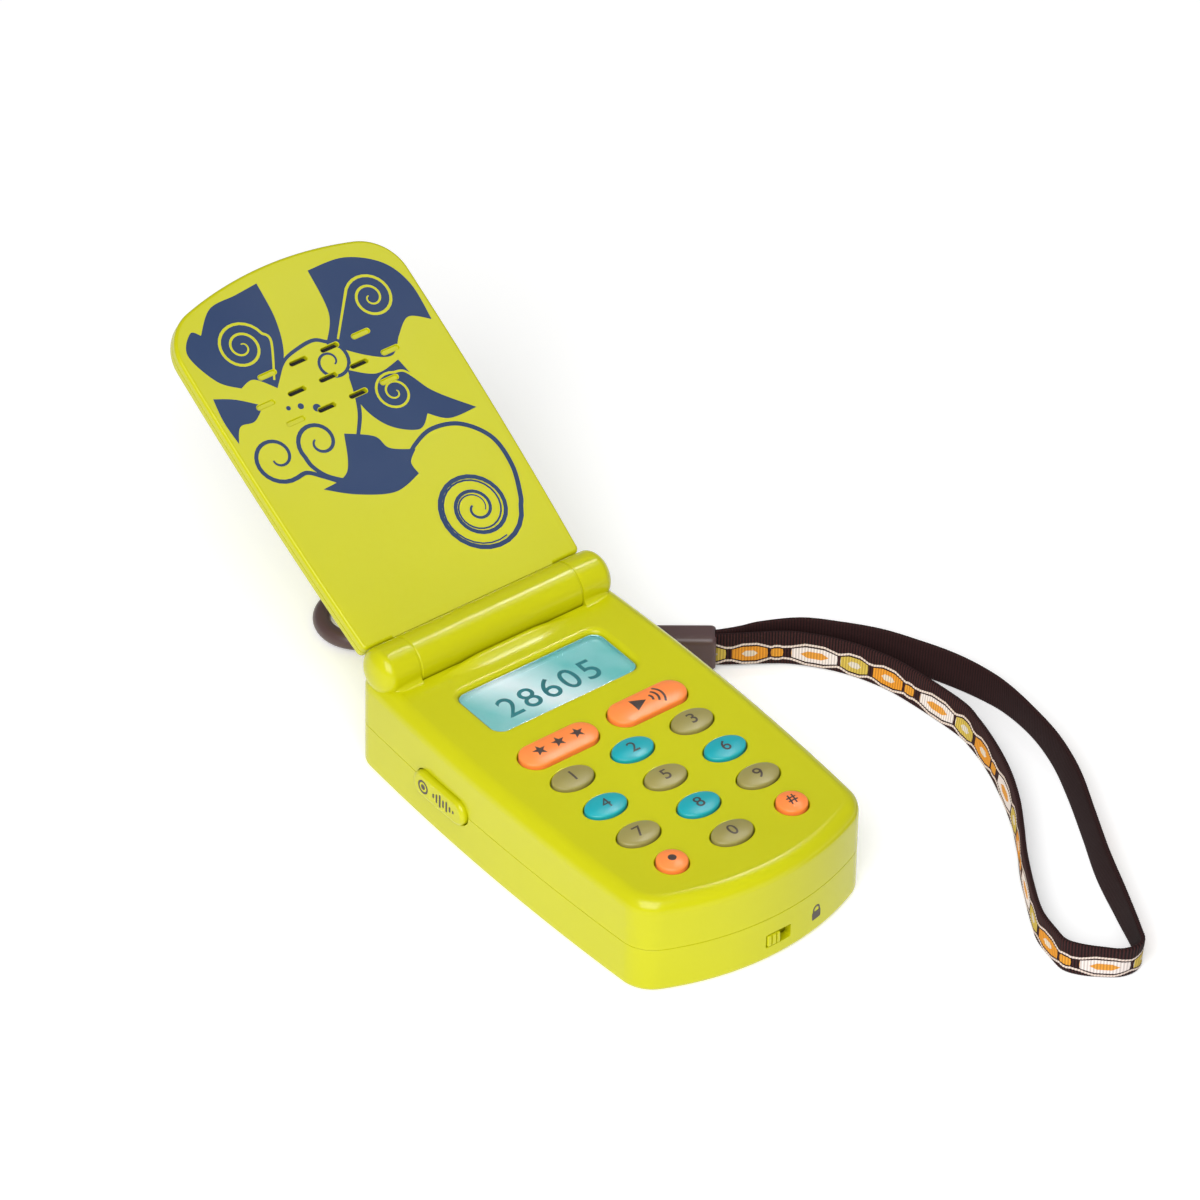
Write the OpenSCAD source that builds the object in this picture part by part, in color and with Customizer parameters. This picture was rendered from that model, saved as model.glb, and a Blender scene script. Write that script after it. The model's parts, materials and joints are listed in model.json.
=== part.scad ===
// Toy flip phone: a lime shell with sprung keys, a lit display, a hinged lid
// with a speaker, and a woven wrist strap on a snap clip.
// Origin at the centre of the body's base. +X is the user's right, +Y points
// to the hinge, +Z is up. Millimetres. The lid is drawn open, as it rests.

/* [Body] */
// Length of the body, from chin to hinge end
body_len = 119.2; // [118:0.2:121]
// Widest width of the body
body_w = 72.8; // [72:0.2:75]
// Height of the body's flat top
body_h = 27.2; // [27:0.1:27.6]
// Height of the seam between the two shells
seam_z = 13; // [12.6:0.1:13.4]
// Wall thickness of the shells
wall = 2.2; // [2:0.1:2.3]
// Rounding of the top edge
top_round = 4; // [2:0.1:4]

/* [Keys] */
// Distance between key columns
key_pitch_x = 18; // [17.6:0.1:18.2]
// Distance between key rows
key_pitch_y = 12.75; // [12.5:0.05:13]
// Length of an oval key
key_l = 11.3; // [10.5:0.1:11.6]
// Width of an oval key
key_w = 7.8; // [7.2:0.1:8.2]
// Diameter of a round key
round_key_d = 7.8; // [7:0.1:8.2]
// Length of a pill key
pill_l = 22; // [20:0.2:22.4]
// Width of a pill key
pill_w = 8.4; // [7.6:0.1:8.6]
// How far a key travels
key_travel = 1; // [0.6:0.1:1]

/* [Display] */
// Width of the display opening
lcd_w = 43.5; // [38:0.5:44]
// Height of the display opening
lcd_h = 18; // [15:0.5:18]

/* [Lid] */
// Length of the lid from the hinge axis to its tip
lid_len = 106; // [102:0.5:108]
// Widest width of the lid
lid_w = 68.8; // [66:0.2:70]
// Thickness of the lid at its rim
lid_t = 5; // [5:0.1:5.6]
// How much the lid's back bulges
lid_crown = 2.2; // [2:0.1:3]
// Angle of the open lid above the horizontal
lid_tilt = 30.3; // [28:0.1:40]

/* [Hinge] */
// Radius of the hinge barrel
barrel_r = 6.3; // [6:0.1:6.4]
// Height of the hinge axis above the base
hinge_z = 29.2; // [29.2:0.1:29.6]
// Half the length of the lid's barrel
barrel_half = 24.3; // [22:0.1:25]

/* [Strap] */
// Width of the woven ribbon
ribbon_w = 9.4; // [9:0.1:9.5]
// Thickness of the woven ribbon
ribbon_t = 1.2; // [1:0.1:1.2]
// Diameter of the clip's bar
bar_d = 4.5; // [4.2:0.1:4.5]
// How far the clip leans up to pass the eye, in degrees
clip_tilt = 2.1; // [2:0.05:2.2]

/* [Hidden] */

$fn = 48;
gap = 0.3;          // clearance round everything that moves
fit = 0.05;         // radial clearance of a running fit
tiny = 0.1;         // clearance between still parts, and overlap of cutters

lime = [0.83, 0.86, 0.14];
khaki = [0.61, 0.57, 0.33];
teal = [0.06, 0.65, 0.68];
orange = [0.98, 0.56, 0.27];
brown = [0.28, 0.2, 0.18];
steel = [0.72, 0.73, 0.75];

// Plans: [half width, where widest, bow of the sides, tip, bow of the tip,
// tip corner radius, root, root corner radius], tip towards +Y
body_plan = [body_w / 2, -8, 700, body_len / 2, 70, 9.5, -body_len / 2, 6.3];
lid_root = barrel_r + 0.45;
lid_plan = [lid_w / 2, 72, 1280, lid_len, 95, 12.5, lid_root, 1.5];
lid_middle = [0, 58];
lid_panel_t = 1.5;
lid_seam = 2.3;     // depth of the seam between panel and cover

hinge_y = body_len / 2 - 7;
trough_r = barrel_r + 0.35;
knuckle_end = 35.2;
knuckle_start = barrel_half + 0.4;
pin_r = 1.5;
wire_sleeve_r = 2.2;

roof_z = body_h - wall;
key_mid_y = -17.4;
pill_x = 13.4;
pill_y = 6.9;
flange_out = 1.2;   // how far a key's flange sticks out under the roof
flange_t = 1.2;
flange_top = roof_z - gap;
key_top = body_h + 1.2;
tall_key_top = body_h + 1.65;

board_top = 18.8;
board_t = 1.6;
board_x = 25;
board_y = [-51.5, 40];
mat_t = 1;
mat_dome_top = flange_top - flange_t - key_travel - 0.45;
board_boss = [[-22.5, 15.2], [22.5, 15.2], [-12, -48.9], [12, -48.9]];

case_post = [[-28.5, -47.5], [28.5, -47.5], [-29, 38], [29, 38]];
post_r = 3.2;
screw_r = 1;
screw_head_r = 2.4;
screw_head_h = 1.3;
counterbore_z = 3.6;

lcd_y = 28.7;
lcd_corner = 3.2;

bay = [24.6, -41, -7, 14.1];      // battery bay: half width, front, rear, top
bay_wall = 1.2;
cell_r = 5.25;
cell_len = 43.7;
cell_y = [-35, -24, -13];
cell_z = 8.45;
door = [26, -43, -5, 1.6];        // battery door: half width, front, rear, thickness
door_screw_y = -46.2;
door_ear_r = 4;
door_ear_t = 2.8;

record_y = 22.6;
record_z = 12.5;
record_l = 20;
record_w = 7;
record_proud = 1.5;
record_travel = 1.2;
side_x = body_w / 2 - 0.15;       // outer wall at the record button

lock_x = 1.5;
lock_z = 5.9;
lock_window = [7.5, 3.8];
lock_travel = 3.1;
front_y = -body_len / 2;

grille = [-1.4, 73.1];            // middle of the speaker grille on the lid
slot_pitch = [9.4, 6.85];
slot_size = [5.2, 1.2];
speaker_r = 14;

eye_x = 20.3;
eye_y = 66;
eye_hole = [9.5, 5.8];
eye_rim = 1.4;
clip_end = [-3.5, 99.6];          // centre of the clip's far bend
clip_angle = -41;
clip_bend = 9.75;                 // radius of the clip's bends
clip_straight = 40;
clip_hole = 55;
gate_span = [5.7, 33.5];
gate_pivot = 37.5;
sleeve_mouth = [57.4, 35.3];
sleeve_angle = -36.87;
sleeve_size = [19, 7, 10.5];
sleeve_hole = -21.5;
ring_r = 3.9;
ring_wire = 1;
ring_z = 5;

// Route of the ribbon along the surface: x, y, lift of its lower edge, and how far its
// upper edge leans to the left of travel
strap_route = [
    [53.9, 37.2, 0.6, 0], [56.9, 34.8, 0.6, 0], [62, 31.2, 0.6, 0.2], [70.6, 25.6, 0.4, 0.6],
    [75.5, 20.9, 0.2, 0.8], [80.4, 14.4, 0, 0.8], [84, 6.6, 0, 0.9], [86.3, -2.4, 0, 1.2],
    [88.1, -20, 0, 1.4], [87.4, -28, 0, 1], [84.9, -37.5, 0, 0.9], [81.1, -47, 0, 1.1],
    [76.5, -56.5, 0, 0.7], [71, -65.3, 0, 0.3], [65.6, -73, 0, 0.2], [59.5, -83, 0, 0.1],
    [54.6, -92, 0, 0.2], [52.9, -99.4, 0, 0.1], [52.5, -103.8, 0, 0], [54.4, -107.4, 0, -0.1],
    [58, -111, 0, -0.5], [62, -113.8, 0, -1.1], [66.3, -114, 0, -1.1], [69.5, -110.8, 0, 0],
    [74.5, -98, 0, -1.1], [80.2, -83.8, 0, -1.9], [87.1, -70.5, 0, -1.8],
    [94, -56.8, 0, -1.8], [99.3, -44.6, 0, -0.6], [102.3, -33, 0, 0.5], [102.8, -22, 0, 0.2],
    [101.2, -13.5, 0, -0.6], [98.6, -5.5, 0, -1.2], [95.2, 2.6, 0, -1.2], [90.6, 12, 0, -1],
    [84.4, 20.4, 0, -0.8], [77.8, 27.2, 0.2, -0.6], [69, 31.8, 0.5, -0.3],
    [63.4, 33.6, 0.6, -0.1], [57.9, 36, 0.6, 0], [54.9, 38.2, 0.6, 0]];

// ---- Shape helpers ----

// Points along an arc, without its last one
function arc(c, r, from, to, steps) =
    [for (i = [0:steps - 1]) let(a = from + (to - from) * i / steps) c + r * [cos(a), sin(a)]];

// A slab's outline moved inwards by inset: bowed sides, a bowed tip, round corners
function slab_ring(plan, inset = 0) =
    let(side = [plan[0] - plan[2], plan[1]],
        tip = [0, plan[3] - plan[4]],
        side_r = plan[2] - plan[5],
        tip_r = plan[4] - plan[5],
        span = norm(tip - side),
        along = (side_r * side_r - tip_r * tip_r + span * span) / (2 * span),
        off = sqrt(side_r * side_r - along * along),
        u = (tip - side) / span,
        corner = side + along * u + off * [-u.y, u.x],
        root_dy = plan[6] + plan[7] - side.y,
        root = [side.x + sqrt(pow(plan[2] - plan[7], 2) - root_dy * root_dy), plan[6] + plan[7]],
        a_root = atan2(root.y - side.y, root.x - side.x),
        a_side = atan2(corner.y - side.y, corner.x - side.x),
        a_tip = atan2(corner.y - tip.y, corner.x - tip.x),
        right = concat(
            arc(root, plan[7] - inset, -90, a_root, 6),
            arc(side, plan[2] - inset, a_root, a_side, 6),
            arc(corner, plan[5] - inset, a_side, a_tip, 8),
            arc(tip, plan[4] - inset, a_tip, 90, 5)))
    concat(right, [tip + [0, plan[4] - inset]],
        [for (i = [len(right) - 1:-1:0]) [-right[i].x, right[i].y]]);

function oval_ring(l, w, inset = 0, points = 24) =
    [for (i = [0:points - 1]) let(a = 360 * i / points)
        [(l / 2 - inset) * cos(a), (w / 2 - inset) * sin(a)]];

// A rectangle with round corners; a pill when r is half its width
function rect_ring(l, w, r, inset = 0, steps = 5) =
    [for (q = [0:3]) let(
        sx = q == 0 || q == 3 ? 1 : -1,
        sy = q < 2 ? 1 : -1,
        c = [sx * (l / 2 - r), sy * (w / 2 - r)])
        each [for (i = [0:steps]) let(a = 90 * q + 90 * i / steps) c + (r - inset) * [cos(a), sin(a)]]];

function at_height(ring, z) = [for (p = ring) [p.x, p.y, z]];

// Insets and heights of a quarter round that ends in a flat top at z
function round_steps(r, z) = [for (a = [0:18:90]) [r * (1 - cos(a)), z - r + r * sin(a)]];

// A closed solid through rings of equal length, lowest first
module skin(rings) {
    n = len(rings[0]);
    last = (len(rings) - 1) * n;
    polyhedron(
        points = [for (ring = rings) each ring],
        faces = concat(
            [[for (i = [0:n - 1]) i]],
            [for (k = [0:len(rings) - 2], i = [0:n - 1]) let(j = (i + 1) % n)
                [k * n + i, (k + 1) * n + i, (k + 1) * n + j, k * n + j]],
            [[for (i = [n - 1:-1:0]) last + i]]),
        convexity = 6);
}

// A body-shaped block through [inset, height] steps, chin towards -Y
module body_block(steps)
    rotate([0, 0, 180])
        skin([for (s = steps) at_height(slab_ring(body_plan, s[0]), s[1])]);

// A lid-shaped block through [inset, shrink, height] steps
module lid_block(steps)
    skin([for (s = steps)
        [for (p = slab_ring(lid_plan, s[0])) let(q = lid_middle + s[1] * (p - lid_middle))
            [q.x, q.y, s[2]]]]);

module lid_place()
    translate([0, hinge_y, hinge_z])
        rotate([lid_tilt, 0, 0])
            children();

module along_x(x)
    translate([x, 0, 0])
        rotate([0, 90, 0])
            children();

// A rod along X on the hinge axis
module axle(r, from, to)
    translate([0, hinge_y, hinge_z])
        along_x(from)
            cylinder(r = r, h = to - from);

// A prism with half-round ends along X, centred on the origin, rising in Z
module pill_prism(l, w, h) {
    translate([-(l - w) / 2, -w / 2, 0])
        cube([l - w, w, h]);
    for (side = [-1, 1])
        translate([side * (l - w) / 2, 0, 0])
            cylinder(d = w, h = h);
}

// A flat plate with round corners between two opposite corners
module round_plate(low, high, r, z, h) {
    translate([low.x + r, low.y, z])
        cube([high.x - low.x - 2 * r, high.y - low.y, h]);
    translate([low.x, low.y + r, z])
        cube([high.x - low.x, high.y - low.y - 2 * r, h]);
    for (x = [low.x + r, high.x - r], y = [low.y + r, high.y - r])
        translate([x, y, z])
            cylinder(r = r, h = h);
}

// Screw pointing up, its head's underside at z = 0, with a cross recess
module screw(length) {
    difference() {
        translate([0, 0, -screw_head_h])
            cylinder(r = screw_head_r, h = screw_head_h);
        for (turn = [0, 90])
            rotate([0, 0, turn])
                translate([-1.5, -0.35, -screw_head_h - 1])
                    cube([3, 0.7, 1.7]);
    }
    cylinder(r = screw_r, h = length);
}

// Catmull-Rom point between route[i] and route[i + 1]
function smooth_point(route, i, t) =
    let(last = len(route) - 1,
        a = route[max(i - 1, 0)], b = route[i], c = route[min(i + 1, last)], d = route[min(i + 2, last)])
    0.5 * (2 * b + t * (c - a) + t * t * (2 * a - 5 * b + 4 * c - d) + t * t * t * (3 * b - a - 3 * c + d));

function smooth_route(route, steps = 2) =
    concat([for (i = [0:len(route) - 2], k = [0:steps - 1]) smooth_point(route, i, k / steps)],
        [route[len(route) - 1]]);

function unit(v) = v / norm(v);

// Level direction of travel at point i of a route
function heading(route, i) =
    let(a = route[max(i - 1, 0)], b = route[min(i + 1, len(route) - 1)])
    unit([b.x - a.x, b.y - a.y]);

// A round wire along a route, six sides
module wire(route, r, sides = 6) {
    skin([for (i = [0:len(route) - 1])
        let(a = route[max(i - 1, 0)], b = route[min(i + 1, len(route) - 1)],
            t = unit(b - a),
            up = abs(t.z) > 0.9 ? [1, 0, 0] : [0, 0, 1],
            s = unit(cross(up, t)),
            n = cross(t, s))
        [for (k = [0:sides - 1]) route[i] + r * (cos(360 * k / sides) * s + sin(360 * k / sides) * n)]]);
}

// ---- Body shells ----

function key_place(digit) =
    digit == 0 ? [0, key_mid_y - 2 * key_pitch_y]
    : [((digit - 1) % 3 - 1) * key_pitch_x, key_mid_y + (1 - floor((digit - 1) / 3)) * key_pitch_y];

function corner_key_place(side) = [side * key_pitch_x, key_mid_y - 2 * key_pitch_y];

module key_openings() {
    for (digit = [0:9])
        translate([key_place(digit).x, key_place(digit).y, roof_z - 1])
            linear_extrude(wall + 4)
                polygon(oval_ring(key_l, key_w, -gap));
    for (side = [-1, 1]) {
        translate([corner_key_place(side).x, corner_key_place(side).y, roof_z - 1])
            cylinder(d = round_key_d + 2 * gap, h = wall + 4);
        translate([side * pill_x, pill_y, roof_z - 1])
            pill_prism(pill_l + 2 * gap, pill_w + 2 * gap, wall + 4);
    }
}

// Opening for the display, with its edge sloped outwards at the top
module display_opening()
    translate([0, lcd_y, 0])
        skin([for (s = [[0, roof_z - 1], [0, body_h - 0.9], [-0.9, body_h], [-1, body_h + 1]])
            at_height(rect_ring(lcd_w, lcd_h, lcd_corner, s[0]), s[1])]);

// Opening in the left wall for the record button
module record_opening()
    translate([-side_x - 3, record_y, record_z])
        rotate([90, 0, 90])
            pill_prism(record_l + 2 * gap, record_w + 2 * gap, wall + 5);

module knuckles() {
    for (side = [0, 1])
        mirror([side, 0, 0])
            translate([0, hinge_y, hinge_z])
                along_x(knuckle_start)
                    rotate_extrude() {
                        edge = 1.2;
                        length = knuckle_end - knuckle_start;
                        square([barrel_r - edge, length]);
                        square([barrel_r, length - edge]);
                        translate([barrel_r - edge, length - edge])
                            circle(edge);
                    }
}

// Rounds the edge where the roof drops into the barrel's trough
module trough_lip() {
    r = 2.2;
    rise = body_h - r - hinge_z;
    middle = [hinge_y - sqrt(pow(trough_r + r, 2) - rise * rise), body_h - r];
    end = atan2(-rise, hinge_y - middle.x);
    rotate([90, 0, 90])
        translate([0, 0, -knuckle_start])
            linear_extrude(2 * knuckle_start)
                polygon(concat([[hinge_y - 3, body_h + 1], [middle.x, body_h + 1]],
                    arc(middle, r, 90, end, 8),
                    [middle + r * [cos(end), sin(end)], [hinge_y - 3, body_h - 1]]));
}

module front_shell() {
    outer = concat([[0, seam_z]], round_steps(top_round, body_h));
    color(lime)
    difference() {
        union() {
            difference() {
                body_block(outer);
                body_block([[wall, seam_z - 1], [wall, roof_z - 1], [wall + 0.3, roof_z - 0.3],
                    [wall + 1, roof_z]]);
            }
            intersection() {
                body_block(outer);
                axle(trough_r + 1.8, -knuckle_start - 1.8, knuckle_start + 1.8);
            }
            knuckles();
            for (p = case_post)
                translate([p.x, p.y, seam_z])
                    cylinder(r = post_r - 0.2, h = roof_z - seam_z + tiny);
            for (p = board_boss)
                translate([p.x, p.y, board_top])
                    cylinder(r = 1.9, h = roof_z - board_top + tiny);
        }
        axle(trough_r, -knuckle_start, knuckle_start);
        trough_lip();
        translate([-knuckle_start, hinge_y, roof_z])
            cube([2 * knuckle_start, 10, 10]);
        axle(pin_r + fit, -knuckle_end + 1.5, -knuckle_start + 1);
        axle(wire_sleeve_r + fit, knuckle_start - 1, knuckle_end - 1.5);
        translate([31, hinge_y, hinge_z - barrel_r - 4])
            cylinder(r = 1.5, h = barrel_r + 4);
        key_openings();
        display_opening();
        record_opening();
        for (p = case_post)
            translate([p.x, p.y, seam_z - 1])
                cylinder(r = screw_r + fit, h = 9);
        for (p = board_boss)
            translate([p.x, p.y, board_top - 1])
                cylinder(r = screw_r - 0.2 + fit, h = 5.5);
    }
}

// Opening in the chin for the lock slider
module lock_opening()
    translate([lock_x - lock_window.x / 2, front_y - 2, lock_z - lock_window.y / 2])
        cube([lock_window.x, wall + 3, lock_window.y]);

module battery_bay() {
    translate([-bay[0] - bay_wall, bay[1] - bay_wall, 0.5])
        cube([2 * (bay[0] + bay_wall), bay[2] - bay[1] + 2 * bay_wall, bay[3] + bay_wall - 0.5]);
    round_plate([-door[0] - 1.6, door[1] - 1.6], [door[0] + 1.6, door[2] + 1.6], 2, 0.5, 2.9);
    translate([0, door_screw_y, 0.5])
        cylinder(r = door_ear_r + 1.2, h = 2.9);
    translate([0, door_screw_y, 0.5])
        cylinder(r = post_r, h = 10.5);
}

// The door's seat, the bay and the door screw's hole
module battery_bay_cut() {
    slack = 0.15;
    round_plate([-door[0] - slack, door[1] - slack], [door[0] + slack, door[2] + slack], 2, -1,
        door[3] + slack + 1);
    translate([-bay[0], bay[1], 0.5])
        cube([2 * bay[0], bay[2] - bay[1], bay[3] - 0.5]);
    translate([0, door_screw_y, -1])
        cylinder(r = door_ear_r + slack, h = door_ear_t + slack + 1);
    translate([0, door_screw_y, 1])
        cylinder(r = screw_r + fit, h = 9);
}

module lanyard_eye() {
    depth = 3;
    height = eye_hole.y + 2 * eye_rim + 0.4;
    reach = eye_hole.x / 2 + 2.3;
    difference() {
        translate([eye_x - depth / 2, 0, 0]) {
            translate([0, body_len / 2 - 1, 0])
                cube([depth, eye_y + reach - height / 2 - body_len / 2 + 1, height]);
            translate([0, eye_y + reach - height / 2, height / 2])
                along_x(0)
                    cylinder(d = height, h = depth);
        }
        translate([eye_x - depth, eye_y, eye_rim + eye_hole.y / 2])
            rotate([90, 0, 90])
                pill_prism(eye_hole.x, eye_hole.y, 2 * depth);
    }
}

module back_shell() {
    color(lime)
    difference() {
        union() {
            difference() {
                body_block([[1.5, 0], [0.45, 0.45], [0, 1.5], [0, seam_z - 0.6],
                    [0.35, seam_z - 0.5], [0.35, seam_z]]);
                body_block([[wall + 1, wall], [wall, wall + 1], [wall, seam_z + 1]]);
            }
            difference() {
                body_block([[wall + tiny, seam_z - 2], [wall + tiny, seam_z + 1.4]]);
                body_block([[wall + 1.1, seam_z - 3], [wall + 1.1, seam_z + 2]]);
                translate([-body_w, record_y - record_l / 2 - 3, seam_z - 4])
                    cube([body_w, record_l + 6, 8]);
                for (p = case_post)
                    translate([p.x, p.y, seam_z - tiny])
                        cylinder(r = post_r, h = 3);
            }
            battery_bay();
            for (p = case_post)
                translate([p.x, p.y, 0.5])
                    cylinder(r = post_r, h = seam_z - 0.6);
            for (x = [-28.9, -26.3], y = [13, 29.4])
                translate([x, y, 1])
                    cube([1.2, 3, 8]);
            translate([-4, front_y + 4.6, 1])
                cube([11, 3.4, lock_z - 2.7 - 1]);
            lanyard_eye();
        }
        battery_bay_cut();
        for (p = case_post)
            translate([p.x, p.y, -1]) {
                cylinder(r = screw_head_r + 0.3, h = counterbore_z + 1);
                cylinder(r = screw_r + 0.15, h = seam_z + 2);
            }
        record_opening();
        lock_opening();
        for (turn = [0:120:240])
            translate([-14 + 1.2 * cos(turn), -50 + 1.2 * sin(turn), -1])
                cylinder(r = 0.5, h = wall + 2, $fn = 16);
    }
}

module battery_door() {
    color(lime)
    difference() {
        union() {
            round_plate([-door[0], door[1]], [door[0], door[2]], 2, 0, door[3]);
            translate([0, door_screw_y, 0])
                cylinder(r = door_ear_r, h = door_ear_t);
        }
        translate([0, door_screw_y, -1]) {
            cylinder(r = screw_head_r + 0.3, h = 2.6);
            cylinder(r = screw_r + 0.3, h = door_ear_t + 2);
        }
        for (i = [-2:2])
            translate([i * 3.2, door[2] - 6, -1])
                pill_prism(1.4, 1, 1.5);
    }
}

module door_screw()
    color(steel)
        translate([0, door_screw_y, 1.6])
            screw(7.5);

module case_screws()
    color(steel)
        for (p = case_post)
            translate([p.x, p.y, counterbore_z])
                screw(17);

// ---- Power ----

// One cell along X; every second one points the other way
module battery(i) {
    points = [[0, 0], [cell_r - 0.3, 0], [cell_r, 0.3], [cell_r, cell_len - 0.5],
        [cell_r - 0.5, cell_len], [1.9, cell_len], [1.9, cell_len + 0.8], [0, cell_len + 0.8]];
    color([0.75, 0.36, 0.16])
        translate([0, cell_y[i], cell_z])
            rotate([0, 0, i == 1 ? 180 : 0])
                along_x(-20.5)
                    rotate_extrude()
                        polygon(points);
}

module battery_springs() {
    turns = 3.5;
    per_turn = 10;
    color(steel)
        for (i = [0:2])
            translate([0, cell_y[i], cell_z])
                rotate([0, 0, i == 1 ? 180 : 0])
                    wire([for (k = [0:turns * per_turn]) let(a = 360 * k / per_turn,
                            r = 3.8 - 1.6 * k / (turns * per_turn))
                        [-23.8 + 2.8 * k / (turns * per_turn), r * cos(a), r * sin(a)]], 0.3, 5);
}

module battery_plates() {
    color(steel)
        for (i = [0:2], side = [-1, 1])
            translate([side * (bay[0] - 0.3) - 0.15, cell_y[i] - 4, cell_z - 4])
                cube([0.3, 8, 8]);
}

// ---- Electronics ----

module main_board() {
    color([0.1, 0.4, 0.2])
    difference() {
        round_plate([-board_x, board_y[0]], [board_x, board_y[1]], 1.5, board_top - board_t, board_t);
        for (p = board_boss)
            translate([p.x, p.y, board_top - board_t - 1])
                cylinder(r = screw_r, h = board_t + 2);
    }
}

module board_screws()
    color(steel)
        for (p = board_boss)
            translate([p.x, p.y, board_top - board_t])
                difference() {
                    union() {
                        translate([0, 0, -1])
                            cylinder(r = 1.8, h = 1);
                        cylinder(r = screw_r - 0.2, h = 5.5);
                    }
                    translate([-1.2, -0.25, -2])
                        cube([2.4, 0.5, 1.5]);
                }

module sound_chip()
    color([0.08, 0.08, 0.08])
        translate([6, 20, board_top - board_t])
            rotate([180, 0, 0])
                rotate_extrude()
                    polygon([[0, 0], [5.5, 0], [5, 0.7], [4, 1.3], [2.4, 1.7], [0, 1.8]]);

module keypad_mat() {
    places = concat([for (digit = [0:9]) key_place(digit)],
        [corner_key_place(-1), corner_key_place(1), [-pill_x, pill_y], [pill_x, pill_y]]);
    color([0.85, 0.85, 0.82]) {
        round_plate([-24.5, -46.4], [24.5, 12], 2, board_top, mat_t);
        for (p = places)
            translate([p.x, p.y, board_top + mat_t - tiny])
                cylinder(r1 = 3, r2 = 2.3, h = mat_dome_top - board_top - mat_t + tiny);
    }
}

module display_window()
    color([0.8, 0.93, 0.95, 0.4])
        translate([0, lcd_y, 0]) {
            skin([for (z = [roof_z - 1.2, roof_z - 0.02])
                at_height(rect_ring(lcd_w + 3.4, lcd_h + 3.4, lcd_corner + 1), z)]);
            skin([for (s = [[0.15, roof_z - 0.5], [0.15, body_h - 1.4], [0.5, body_h - 1.1]])
                at_height(rect_ring(lcd_w, lcd_h, lcd_corner, s[0]), s[1])]);
        }

module display_panel()
    color([0.6, 0.82, 0.84])
        round_plate([-22.8, lcd_y - 9.8], [22.8, lcd_y + 9.8], 1, roof_z - 3.3, 2);

module display_backlight() {
    color([0.9, 0.95, 1]) {
        round_plate([-22.8, lcd_y - 9.8], [22.8, lcd_y + 9.8], 1, roof_z - 5.1, 1.7);
        for (x = [-10, 10])
            translate([x - 1.5, lcd_y + 9.8 - tiny, roof_z - 5])
                cube([3, 1.3, 1.5]);
    }
}

module microphone()
    color([0.7, 0.7, 0.72])
        translate([-14, -50, wall + 0.05]) {
            cylinder(r = 3, h = 2.4);
            for (x = [-1, 1])
                translate([x, 0, 2.3])
                    cylinder(r = 0.25, h = 3, $fn = 16);
        }

module record_board()
    color([0.1, 0.4, 0.2])
        translate([-27.6, record_y - 10.4, wall + 0.1])
            cube([1.2, 20.8, 17]);

module record_switch()
    color([0.15, 0.15, 0.16]) {
        translate([-30.1, record_y - 3, record_z - 3])
            cube([2.45, 6, 6]);
        translate([0, record_y, record_z])
            along_x(-30.8)
                cylinder(r = 1.6, h = 0.8);
    }

module lock_switch() {
    color([0.15, 0.15, 0.16])
    difference() {
        translate([-5, front_y + 4.6, lock_z - 2.7])
            cube([13, 3.3, 5.5]);
        translate([-1.4, front_y + 4, lock_z - 1.2])
            cube([1.8 + lock_travel + 1, 2.4, 2.4]);
    }
}

// ---- Hinge ----

module hinge_pin_left()
    color(steel)
        axle(pin_r, -knuckle_end + 1.7, -17);

// Hollow stub that the speaker lead passes through
module hinge_sleeve_right()
    color([0.2, 0.2, 0.2])
    difference() {
        axle(wire_sleeve_r, 17, knuckle_end - 1.7);
        axle(1.4, 16, 29.4);
        translate([31, hinge_y, hinge_z - 5])
            cylinder(r = 1.4, h = 5);
        axle(1.4, 29, 32.3);
    }

module speaker_lead_body() {
    route = [[18, hinge_y, hinge_z], [22, hinge_y, hinge_z], [26, hinge_y, hinge_z],
        [29, hinge_y, hinge_z], [30.5, hinge_y, hinge_z - 0.6], [31, hinge_y, hinge_z - 2],
        [31, hinge_y, 24], [31, hinge_y, 19.6], [30, 50, 17.6], [27, 47, 17.4],
        [24, 44, 18.2], [23.2, 41, 19.6], [23, 38.5, 19.7]];
    color([0.7, 0.1, 0.1])
        wire(route, 0.75, 6);
}

// ---- Lid, drawn with its inner face on z = 0 and then turned open ----

module grille_slots(rows, columns_even, columns_odd, depth) {
    for (row = [-rows:rows]) {
        columns = row % 2 == 0 ? columns_even : columns_odd;
        for (column = columns)
            translate([grille.x + column * slot_pitch.x, grille.y + row * slot_pitch.y, -depth])
                pill_prism(slot_size.x, slot_size.y, depth + 1);
    }
}

module lid_inner_panel() {
    edge = [for (s = round_steps(0.9, 0)) [s[0], 1, s[1]]];
    color(lime)
    lid_place()
    difference() {
        union() {
            difference() {
                lid_block(concat([[0, 1, -lid_seam + 0.05]], edge));
                lid_block([[lid_panel_t, 1, -lid_seam - 1], [lid_panel_t, 1, -lid_panel_t]]);
            }
            translate([-barrel_half + 0.1, 0, -lid_t + 0.1])
                cube([2 * barrel_half - 0.2, lid_root - 0.1, lid_t - 0.1]);
            translate([-barrel_half + 0.1, 0, -lid_seam + 0.05])
                cube([2 * barrel_half - 0.2, lid_root + 2, lid_seam - 0.05]);
            along_x(-barrel_half)
                cylinder(r = barrel_r, h = 2 * barrel_half);
            translate([grille.x, grille.y, -lid_panel_t - 1.4])
                difference() {
                    cylinder(r = speaker_r + 1.3, h = 1.5);
                    translate([0, 0, -1])
                        cylinder(r = speaker_r + 0.15, h = 4);
                }
        }
        along_x(-16)
            cylinder(r = 4.6, h = 32);
        along_x(-barrel_half - 1)
            cylinder(r = pin_r + fit, h = 10);
        along_x(15)
            cylinder(r = wire_sleeve_r + fit, h = 10);
        translate([8, 0, -3.6])
            cube([4, lid_root + 4, 2.1]);
        grille_slots(1, [-1:1], [-0.5, 0.5], 2);
        grille_slots(1, [-2, 2], [-1.5, 1.5], 0.5);
    }
}

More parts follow.
